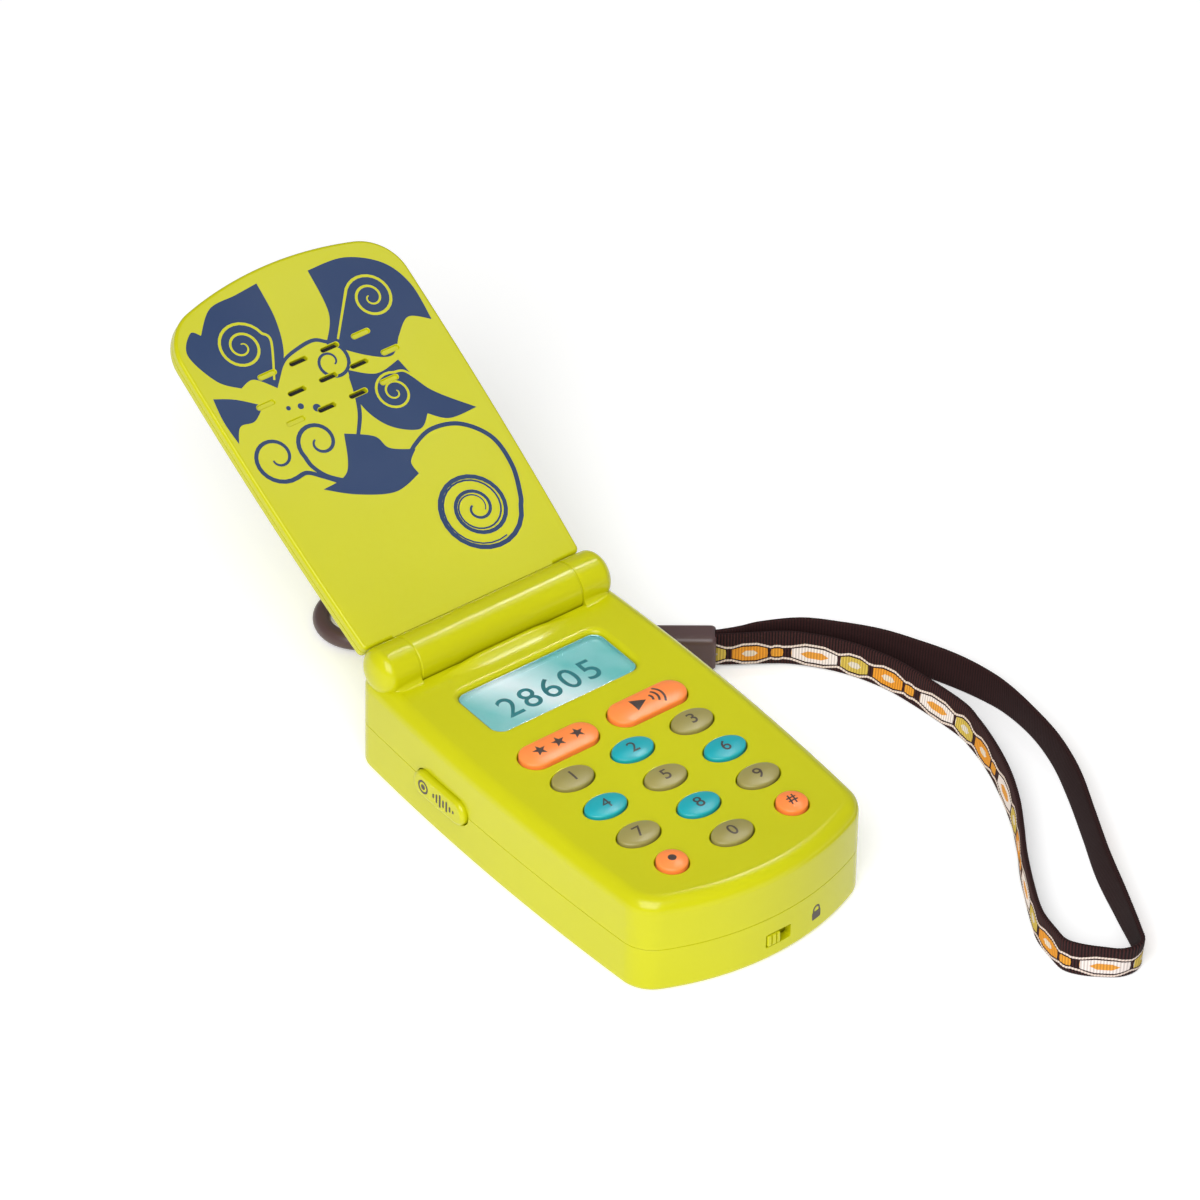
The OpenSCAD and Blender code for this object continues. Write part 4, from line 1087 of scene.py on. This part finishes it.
def make_lid_outer_cover():
    """The lid's slightly domed back, hollow, with a groove at the seam."""
    def dome(inset, base):
        shrinks = [0.02] + [k / 16 for k in range(1, 16)]
        return [(inset, f, base - LID_CROWN * (1 - f * f)) for f in shrinks]

    cover = lid_block("lid_outer_moulding", dome(1.2, -LID_T) + [
        (1.2, 1, -LID_T), (0.8, 1, 0.07 - LID_T), (0.35, 1, 0.35 - LID_T), (0.08, 1, 0.8 - LID_T),
        (0, 1, 1.2 - LID_T), (0, 1, -LID_SEAM - 0.25), (0.04, 1, -LID_SEAM - 0.2),
        (0.15, 1, -LID_SEAM - 0.18), (0.15, 1, -LID_SEAM)])
    hollow = lid_block("hollow", dome(2.7, 1.4 - LID_T) + [
        (2.7, 1, 1.4 - LID_T), (1.7, 1, 1.8 - LID_T), (1.5, 1, -LID_SEAM - 0.3),
        (1.5, 1, 1 - LID_SEAM)])
    notch = slab("notch", (LEAD[0], LID_ROOT - 1, -3.6), (LEAD[1], LID_ROOT + 3, -0.6))
    boolean(cover, [hollow, notch])
    settle(cover, "lid", LIME, ["lid_outer_cover"], LID)


make_lid_inner_panel()
make_lid_outer_cover()


# ---------------------------------------------------------------- prints

def weld(piece, distance=0.0005):
    mesh = bmesh.new()
    mesh.from_mesh(piece.data)
    bmesh.ops.remove_doubles(mesh, verts=mesh.verts, dist=distance)
    bmesh.ops.recalc_face_normals(mesh, faces=mesh.faces)
    mesh.to_mesh(piece.data)
    mesh.free()
    return piece


def glyphs(text, size, low, high, spacing=1.0, heavier=0.0):
    """Numerals or a sign as a solid, centred in x and y; heavier thickens their strokes."""
    data = bpy.data.curves.new("glyphs", "FONT")
    data.body = text
    data.size = size
    data.space_character = spacing
    data.offset = heavier
    data.resolution_u = 6
    data.extrude = (high - low) / 2
    source = add_object("glyphs_curve", data)
    graph = bpy.context.evaluated_depsgraph_get()
    mesh = bpy.data.meshes.new_from_object(source.evaluated_get(graph))
    bpy.data.objects.remove(source)
    piece = shift(weld(add_object("glyphs", mesh)), 0, 0, (low + high) / 2)
    xs, ys = ([v.co[k] for v in piece.data.vertices] for k in (0, 1))
    return shift(piece, -(min(xs) + max(xs)) / 2, -(min(ys) + max(ys)) / 2)


def shapes(name, outlines, low, high):
    """A solid from separate flat outlines."""
    return join(name, [prism(name, outline, low, high) for outline in outlines])


def star(x, y, r):
    return [Vector((x + k * sin(a), y + k * cos(a))) for a, k in
            ((pi / 5 * i, r if i % 2 == 0 else r * 0.42) for i in range(9, -1, -1))]


def band(points, width):
    """An outline that follows open points, with a width in millimetres at each."""
    left, right = [], []
    for i, p in enumerate(points):
        a, b = points[max(i - 1, 0)], points[min(i + 1, len(points) - 1)]
        d = (b - a).normalized()
        side = Vector((-d.y, d.x)) * width(i / (len(points) - 1)) / 2
        left.append(p + side)
        right.append(p - side)
    return right + left[::-1]


def print_on(name, mark, surface, lift=0.04):
    """Keeps what of an upright mark lies under the surface raised by lift."""
    boolean(mark, [shift(surface, 0, 0, lift)], "INTERSECT")
    mark.name = name
    return mark


# ---------------------------------------------------------------- keys

def key_steps(top, crown, reach):
    """Insets and heights of a key, from its hidden flange to the middle of its dome."""
    r, flange = 0.55, ROOF - GAP
    rim = quarter()[:-1]
    start = r * (1 - rim[-1][0])
    low = top - crown - r * rim[-1][1]
    steps = [(-1.2, flange - 1.2), (-1.2, flange), (0, flange)]
    steps += [(r * (1 - c), low + r * s) for c, s in rim]
    for k in range(1, 13):
        steps.append((start + (reach - 0.06 - start) * k / 12, top - crown * (1 - k / 12) ** 2))
    return steps


def key_solid(name):
    plain = name in NUMBERS
    reach = (KEY[1] if plain else ROUND_KEY[1] if name in CORNERS else PILL[1]) / 2
    steps = key_steps(top_of(name), 0.45 if plain else 0.6, reach)
    return stack(name + "_cap", lambda inset: key_ring(name, inset), steps)


def key_mark(name):
    """The upright solid of a key's print."""
    low, high = top_of(name) - 1, top_of(name) + 1
    if name in NUMBERS:
        return glyphs(name[-1], 5.0, low, high, heavier=0.0 if name == "key_4" else 0.03)
    if name == "key_hash":
        return glyphs("#", 4.4, low, high, heavier=0.05)
    if name == "key_dot":
        return shapes(name, [disc(0, 0, 1.05)], low, high)
    if name == "key_stars":
        return shapes(name, [star(x, 0, 1.95) for x in (-5.6, 0, 5.6)], low, high)
    play = flat_points((-4.2, -2.1), (-0.4, 0), (-4.2, 2.1))
    waves = [band(arc((-0.2, 0), r, -38, 38, 14), lambda t: 0.6) for r in (1.6, 3.1, 4.6)]
    return shapes(name, [play] + waves, low, high)


for name in NUMBERS + CORNERS + PILLS:
    look, slot = ORANGE, "orange_plastic"
    if name in NUMBERS:
        look, slot = (TEAL, "teal_plastic") if name[-1] in "2468" else (KHAKI, "khaki_plastic")
    mark = print_on(name + "_print", key_mark(name), key_solid(name))
    settle(over(name, mark), name, INK)
    settle(over(name, key_solid(name)), name, look, [name])


# ---------------------------------------------------------------- display

def make_window():
    """The clear lens, with a flange under the roof and a small gap round its rim."""
    gap, flange = 0.15, -1.7
    low, lens = (corner.z for corner in node_box("display_window"))
    steps = [(flange, low), (flange, ROOF - 0.02), (gap, ROOF - 0.02)]
    steps += [(gap + inset, z) for inset, z in round_over(0.35, lens, 6)]
    window = stack("display_lens", lambda inset: rect_ring(DISPLAY, DISPLAY_CORNER, inset), steps)
    settle(shift(window, 0, DISPLAY_Y), "body", WINDOW, ["display_window"])


def make_digits():
    top = top_of("display_panel")
    digits = glyphs("28605", 10.4, top - 0.02, top + 0.04, 1.16, 0.04)
    settle(shift(digits, 0, DISPLAY_Y - 0.6), "body", SEGMENT)


make_window()
make_digits()


# ---------------------------------------------------------------- side button and lock

def make_record_button():
    """The side button, printed with a dot in a ring and a row of sound bars."""
    flange = -node_box("record_button")[1].x
    steps = [(-1.2, flange), (-1.2, flange + 1.2), (0, flange + 1.2)]
    cap = stack("record_cap", lambda inset: pill_ring(BUTTON_SIZE, inset),
                steps + round_over(1.1, BUTTON_FACE, 8))
    settle(cap, "record_button", LIME, ["record_button"], SIDE)
    low, high = BUTTON_FACE - 0.02, BUTTON_FACE + 0.04
    dot, outside, inside = (disc(RECORD_DOT_X, 0, r) for r in (0.75, 1.9, 1.35))
    ring = boolean(prism("ring", outside, low, high), [prism("in", inside, low - 1, high + 1)])
    bars = [rect_ring((0.62, h), 0.3, 0, 5) for h in (1.3, 2.6, 3.8, 2.2, 3.2, 1.6, 0.9)]
    bars = [[p + Vector((-1.5 + 1.3 * i, 0)) for p in bar] for i, bar in enumerate(bars)]
    mark = join("record_print", [ring, shapes("bars", bars + [dot], low, high)])
    settle(mark, "record_button", INK, matrix=SIDE)


SLIDER_FACE = -node_box("lock_slider")[0].y
SLIDER_X = -0.05 - LOCK_X
PADLOCK_X = 12.5


def make_slider():
    """The lock's plate, a knob with two grooves and a drive pin."""
    back = FRONT + 3.2
    base = stack("lock_slider_knob", lambda inset: rect_ring((12.9, 5.4), 0.4, inset),
                 [(0, -back - 0.9), (0, -back - 0.15), (0.15, -back)])
    knob = stack("knob", lambda inset: rect_ring((3.8, 3.2), 0.45, inset),
                 [(0, -back - 0.3)] + round_over(0.35, SLIDER_FACE, 8))
    grooves = [slab("groove", (x, -2, SLIDER_FACE - 0.45), (x + 0.4, 2, SLIDER_FACE + 1))
               for x in (-0.9, 0.5)]
    boolean(knob, grooves)
    shift(knob, SLIDER_X)
    shift(base, SLIDER_X)
    pin = shift(turned("pin", [(0.8, -back - 2.2), (0.8, -back - 0.8)]), -0.1 - LOCK_X)
    boolean(base, [knob, pin], "UNION")
    settle(base, "lock_slider", LIME, ["lock_slider"], CHIN)


def make_padlock():
    """A small padlock printed on the chin beside the slider."""
    low, high = -FRONT - 6, -FRONT + 1
    body = prism("body", rect_ring((3.0, 2.4), 0.4, 0, 4), low, high)
    shift(body, PADLOCK_X, -0.5)
    bow = flat_points((-1, 0.4), *arc((0, 1.2), 1.0, 180, 0, 12), (1, 0.4))
    shackle = shift(prism("shackle", band(bow, lambda t: 0.5), low, high), PADLOCK_X)
    mark = put(boolean(body, [shackle], "UNION"), CHIN)
    boolean(mark, [body_block("outside", [(-0.04, 1.6), (-0.04, SEAM_Z - 0.7)])], "INTERSECT")
    mark.name = "lock_print"
    settle(mark, "body", INK)


make_record_button()
make_slider()
make_padlock()


# ---------------------------------------------------------------- lid print

def closed(points, steps=10):
    """A smooth closed outline; a point given twice in a row is a sharp corner."""
    pts = [Vector(p) for p in points]
    n, out = len(pts), []
    for i in range(n):
        a, b, c, d = pts[i - 1], pts[i], pts[(i + 1) % n], pts[(i + 2) % n]
        if (b - c).length < 1e-6:
            continue
        a = b if (a - b).length < 1e-6 else a
        d = c if (d - c).length < 1e-6 else d
        out += [blend(a, b, c, d, k / steps) for k in range(steps)]
    area = sum(p.x * q.y - q.x * p.y for p, q in zip(out, out[1:] + out[:1]))
    return out if area > 0 else out[::-1]


def curl(x, y, r, turns, start, shrink=0.12, side=1, steps=26):
    """Points of a spiral that starts at radius r and winds inwards."""
    count = int(steps * turns)
    out = []
    for i in range(count + 1):
        t = i / count
        a = radians(start) + side * 2 * pi * turns * t
        k = r * (1 - t) + r * shrink * t
        out.append(Vector((x + k * cos(a), y + k * sin(a))))
    return out


def taper(thick, thin):
    return lambda t: thin + (thick - thin) * sin(pi * min(1, t * 0.85 + 0.15)) ** 0.8


# Leaves with sharp tips
LEAVES = [
    [(-31.4, 92.5), (-27.6, 97.4), (-25.4, 95.8), (-25.4, 95.8), (-19.4, 101.2), (-11.4, 101.8),
     (-4.6, 102.4), (-4.6, 102.4), (-5.4, 92), (-8.6, 83), (-15, 75.8), (-15, 75.8), (-19.4, 80.2),
     (-23.6, 79.4), (-23.6, 79.4), (-28.4, 83.6)],
    [(9.5, 100.2), (9.5, 100.2), (20, 99.6), (28.6, 94.4), (32.2, 86.5), (31.9, 76), (31.9, 76),
     (26.6, 79), (21.4, 75.4), (21.4, 75.4), (17, 71.6), (10.8, 74.4), (3, 81), (3, 81), (8.2, 88)],
    [(-31.8, 79.8), (-31.8, 79.8), (-26.6, 77.4), (-21, 73.2), (-21, 73.2), (-25.2, 70.4),
     (-29.4, 70.6), (-32.2, 66.8), (-32.2, 66.8), (-32.6, 73.4)],
    [(4.2, 72.8), (4.2, 72.8), (10.6, 69), (17.8, 70), (17.8, 70), (20.6, 60.4), (29.4, 50.8),
     (29.4, 50.8), (21.4, 51), (16.8, 54.4), (16.8, 54.4), (12.4, 51.6), (5.4, 56), (2.2, 64)],
    [(-6, 58.4), (-6, 58.4), (0.8, 54.6), (2.6, 50.4), (8.6, 47.4), (8.6, 47.4), (5.6, 44.8),
     (5.8, 41.4), (5.8, 41.4), (-2.4, 39.6), (-11.8, 43), (-19, 47.6), (-19, 47.6), (-11, 49.2)]]
# Points of a stem, then the spiral that it runs into (centre, radius, turns, start angle,
# last radius as a share of the first, direction), then the thick and the thin of its line
FLOURISHES = [
    ([(4.6, 45.4), (9, 48.4), (15.4, 50.4), (23, 48.6), (28.6, 42.2), (29.2, 33.6)],
     (14.4, 27.4, 11.6, 2.6, -20, 0.1, -1), 1.25, 0.55),
    ([], (14.2, 27.5, 10.0, 1.9, -70, 0.24, -1), 0.5, 0.25),
    ([(-13, 46.6), (-17.2, 50.6)], (-25.2, 59.8, 7.0, 1.25, -75, 0.2, -1), 1.15, 0.45),
    ([(-11, 46.4), (-16, 50.2)], (-13, 59, 6.0, 1.2, 200, 0.2, -1), 1.15, 0.45),
    ([(-14.4, 77), (-9.6, 81.4), (-4, 83)], (1.4, 76.4, 5.6, 1.35, 72, 0.2, -1), 1.0, 0.4),
    ([(4, 71), (2.6, 66), (0.4, 61), (-3.4, 56)], None, 1.1, 0.9)]
KNOCKED_OUT = [
    ([(-14.6, 78)], (-17.4, 89, 6.8, 2.2, 10, 0.1, 1), 0.8, 0.3),
    ([(6.5, 81)], (20.6, 87.4, 6.6, 2.1, 150, 0.1, -1), 0.8, 0.3),
    ([(20.4, 61.4)], (12.2, 62.8, 5.4, 1.9, 60, 0.12, 1), 0.7, 0.3)]
BERRIES = [(-8.6, 67.2, 1.05), (-12.2, 69.2, 0.8), (-15.4, 70, 0.6)]


def flourish(stem, spiral):
    """A stem that runs smoothly into a spiral."""
    if not spiral:
        return open_curve(stem)
    points = curl(*spiral)
    if stem:
        along = (points[1] - points[0]).normalized()
        points = open_curve(list(stem) + [points[0] - 3 * along, points[0]])[:-1] + points
    return points


def stroke(points, width, low, high):
    """A flat line of changing width, built section by section."""
    edges = band(points, width)
    pairs = zip(edges[:len(points)], edges[:len(points) - 1:-1])
    return skin("stroke", [[Vector((*right, low)), Vector((*right, high)), Vector((*left, high)),
                            Vector((*left, low))] for left, right in pairs])


def make_lid_print():
    """Leaves with spirals knocked out of them, and stems, spirals and berries between."""
    low, high = -0.05, 0.035

    def strokes(rows, base, top):
        return [stroke(flourish(stem, spiral), taper(thick, thin), base, top)
                for stem, spiral, thick, thin in rows]

    ink = prism("leaf", closed(LEAVES[0]), low, high)
    boolean(ink, [prism("leaf", closed(leaf), low, high) for leaf in LEAVES[1:]], "UNION")
    boolean(ink, strokes(KNOCKED_OUT, low - 1, high + 1))
    berries = [prism("berry", disc(x, y, r), low, high) for x, y, r in BERRIES]
    boolean(ink, strokes(FLOURISHES, low, high) + berries, "UNION")
    slots = grille(lambda: prism("slot", pill_ring(SLOT, -0.22, 8), -1, 1),
                   (-2, -1, 0, 1, 2), (-1.5, -0.5, 0.5, 1.5))
    boolean(ink, [join("slots", slots)])
    ink.name = "lid_print"
    settle(ink, "lid", NAVY, matrix=LID)


make_lid_print()


# ---------------------------------------------------------------- clip and ends of the strap

def tube(name, path, r, sides=28, loop=False):
    """A round bar along points."""
    pts = [Vector(p) for p in path]
    n = len(pts)
    rings = []
    up = Vector((0, 0, 1))
    for i, p in enumerate(pts):
        a = pts[(i - 1) % n] if loop else pts[max(i - 1, 0)]
        b = pts[(i + 1) % n] if loop else pts[min(i + 1, n - 1)]
        d = (b - a).normalized()
        if abs(d.dot(up)) > 0.95:
            up = Vector((0, 1, 0))
        across = up.cross(d).normalized()
        top = d.cross(across)
        rings.append([p + r * (across * c + top * s) for c, s in circle(sides)])
    if loop:
        piece = skin(name, rings + [rings[0]], False)
        return weld(piece, 0.001)
    return skin(name, rings)


def line(a, b, count):
    return [Vector(a).lerp(Vector(b), i / count) for i in range(count + 1)]


CLIP_END = Vector((-3.5, 99.6))
CLIP_ANGLE = radians(-41)
CLIP_TILT = radians(2.1)
BEND = 9.75
BAR_R = 2.25
STRAIGHT = 40.0
CLIP_HOLE = 55.0
GATE = (5.7, 33.5)
GATE_PIVOT = 37.5
PIN_R = 0.85
CLIP = (move(CLIP_END.x, CLIP_END.y, BAR_R + (BEND + BAR_R) * sin(CLIP_TILT))
        @ spin(CLIP_ANGLE, "Z") @ spin(-CLIP_TILT, "Y"))


def flat(points):
    return [Vector((p.x, p.y, 0)) for p in points]


def make_lug(half, thick, edge, outline):
    """A tab for a wire, as thick above its middle as below, with round edges."""
    return stack("lug", lambda inset: outline(half - inset), rims(-thick, thick, edge))


def make_clip_body():
    """A bent bar with a long straight back, a lug at one end and its gate's mouth on a side."""
    path = line((GATE[0] - 0.5, BEND, 0), (0.4, BEND, 0), 5)
    path += flat(arc((0, 0), BEND, 90, 270, 40))
    path += line((1, -BEND, 0), (STRAIGHT - 1, -BEND, 0), 20)
    path += flat(arc((STRAIGHT, 0), BEND, -90, 90, 40))
    path += line((STRAIGHT - 0.4, BEND, 0), (GATE_PIVOT - 2.2, BEND, 0), 3)
    loop = tube("snap_clip", path, BAR_R)
    start, thick = STRAIGHT + BEND - 0.5, 2.2
    lug = make_lug(3.4, thick, 0.7, lambda half: flat_points(
        (start, -half), *arc((CLIP_HOLE, 0), half, -90, 90, 24), (start, half)))
    boolean(loop, [lug], "UNION")
    hole = turned("hole", [(3.2, -5), (3.0, -thick - 0.05), (2.35, -1.6), (2.2, -1.1), (2.2, 1.1),
                           (2.35, 1.6), (3.0, thick + 0.05), (3.2, 5)])
    slit = slab("slit", (GATE_PIVOT - 3, BEND - 3, -0.95), (GATE_PIVOT + 2.6, BEND + 3, 0.95))
    boolean(loop, [shift(hole, CLIP_HOLE), slit, rod("pin", GATE_PIVOT, BEND, PIN_R, -5, 5)])
    return settle(loop, "body", BROWN, ["clip_body"], CLIP)


def make_gate():
    """The sprung bar that closes the clip, with a flat neck on its pin and grip grooves."""
    bar = tube("snap_gate", line((GATE[0], BEND, 0), (GATE[1], BEND, 0), 12), BAR_R)
    neck = slab("neck", (GATE[1] - 1, BEND - 2, -0.65), (GATE_PIVOT, BEND + 2, 0.65))
    boolean(bar, [neck, rod("eye", GATE_PIVOT, BEND, 2.1, -0.65, 0.65)], "UNION")
    grooves = [slab("groove", (12 + 2.2 * i, BEND + BAR_R - 0.4, -3),
                    (13 + 2.2 * i, BEND + BAR_R + 1, 3)) for i in range(5)]
    boolean(bar, [rod("pin", GATE_PIVOT, BEND, PIN_R, -3, 3)] + grooves)
    return settle(bar, "clip_gate", BROWN, ["clip_gate"], CLIP)


SLEEVE_MOUTH = Vector((57.4, 35.3))
SLEEVE_ANGLE = radians(-36.87)
SLEEVE_SIZE = (19.0, 7.0, 10.5)
SLEEVE_HOLE = -21.5
SLEEVE = move(*SLEEVE_MOUTH) @ spin(SLEEVE_ANGLE, "Z")


def make_sleeve():
    """The moulded end that grips both ends of the ribbon, with a lug for the ring."""
    length, width, height = SLEEVE_SIZE
    steps = [(1 - s, -length + 1.4 * (1 - c)) for c, s in quarter()] + [(0, -1.3)]
    steps += [(0.9 * (1 - c), -1.2 + 1.2 * s) for c, s in quarter()[1:]]
    box = stack("strap_end_sleeve", lambda inset: rect_ring((height, width), 2.0, inset, 8), steps)
    put(box, along_x(0, 0, height / 2))
    start = 1.0 - length
    lug = make_lug(3.0, 2.2, 0.6, lambda half: flat_points(
        *arc((SLEEVE_HOLE, 0), half, 90, 270, 24), (start, -half), (start, half)))
    boolean(box, [shift(lug, 0, 0, height / 2)], "UNION")
    pocket = slab("pocket", (-6, -1.8, 0.4), (1, 1.8, RIBBON_W + 0.8))
    boolean(box, [pocket, rod("hole", SLEEVE_HOLE, 0, 2.0, -1, 11)])
    return settle(box, "body", BROWN, ["strap_sleeve"], SLEEVE)


def make_ring():
    """The wire link between the clip's lug and the sleeve's."""
    lean = Vector((cos(CLIP_ANGLE), sin(CLIP_ANGLE)))
    start = CLIP_END + CLIP_HOLE * cos(CLIP_TILT) * lean
    end = SLEEVE_MOUTH + SLEEVE_HOLE * Vector((cos(SLEEVE_ANGLE), sin(SLEEVE_ANGLE)))
    r, wire = 3.9, 1.0
    straight = (end - start).length - 2 * r
    path = arc((0, 0), r, 90, 270, 30)
    path += [Vector((straight * k / 8, -r)) for k in range(1, 8)]
    path += arc((straight, 0), r, -90, 90, 30)
    path += [Vector((straight * (1 - k / 8), r)) for k in range(1, 8)]
    ring = tube("strap_link", flat(path), wire, 20, True)
    turn = radians(heading(start, end))
    place = move(start.x, start.y, 5) @ spin(turn, "Z") @ spin(pi / 2, "X") @ move(r)
    return settle(ring, "body", STEEL, ["strap_ring"], place)


clip_body = make_clip_body()
clip_gate = make_gate()
sleeve = make_sleeve()
ring = make_ring()


# ---------------------------------------------------------------- studio

def make_floor():
    """A white sheet just under the phone, faintly lit from within."""
    side = 4.0
    floor = make("floor", [(-side, -side, 0), (side, -side, 0), (side, side, 0), (-side, side, 0)],
                 [(0, 1, 2, 3)])
    floor.location.z = -0.0001
    g = Graph("floor_paper")
    paper = g.mix(g.spread(g.noise(3), 0, 1), srgb(250, 250, 250), srgb(247, 247, 247))
    g.set(Base_Color=paper, Roughness=0.9, Specular_IOR_Level=0.1, Emission_Color=paper,
          Emission_Strength=0.24)
    floor.data.materials.append(g.material)


def add_area(name, place, target, size, power, spread=180):
    light = bpy.data.lights.new(name, "AREA")
    light.spread = radians(spread)
    light.shape = "RECTANGLE"
    light.size, light.size_y = size
    light.energy = power
    aim = (target - place).to_track_quat("-Z", "Y").to_matrix().to_4x4()
    add_object(name, light).matrix_world = move(*place) @ aim


def make_studio():
    """One large soft key over a weak white surround, and a small light each on roof and lid."""
    world = bpy.data.worlds.new("studio")
    world.use_nodes = True
    surround = world.node_tree.nodes["Background"].inputs
    surround["Color"].default_value = (1, 1, 1, 1)
    surround["Strength"].default_value = 0.34
    bpy.context.scene.world = world
    bpy.context.scene.view_settings.view_transform = "Standard"
    middle = Vector((0.02, 0.0, 0.03))
    lid_top = LID @ Vector((0, 95, 0)) * MM
    roof = Vector((0, 3, BODY_TOP)) * MM
    add_area("key", middle + Vector((-0.97, -0.81, 1.14)), middle, (1.4, 1.4), 35)
    add_area("top", roof + Vector((0.286, 0.132, 0.512)), roof, (0.06, 0.06), 0.0095, 20)
    add_area("sheen", lid_top + Vector((0.29, -0.143, 0.503)), lid_top, (0.16, 0.16), 0.2)


make_floor()
make_studio()
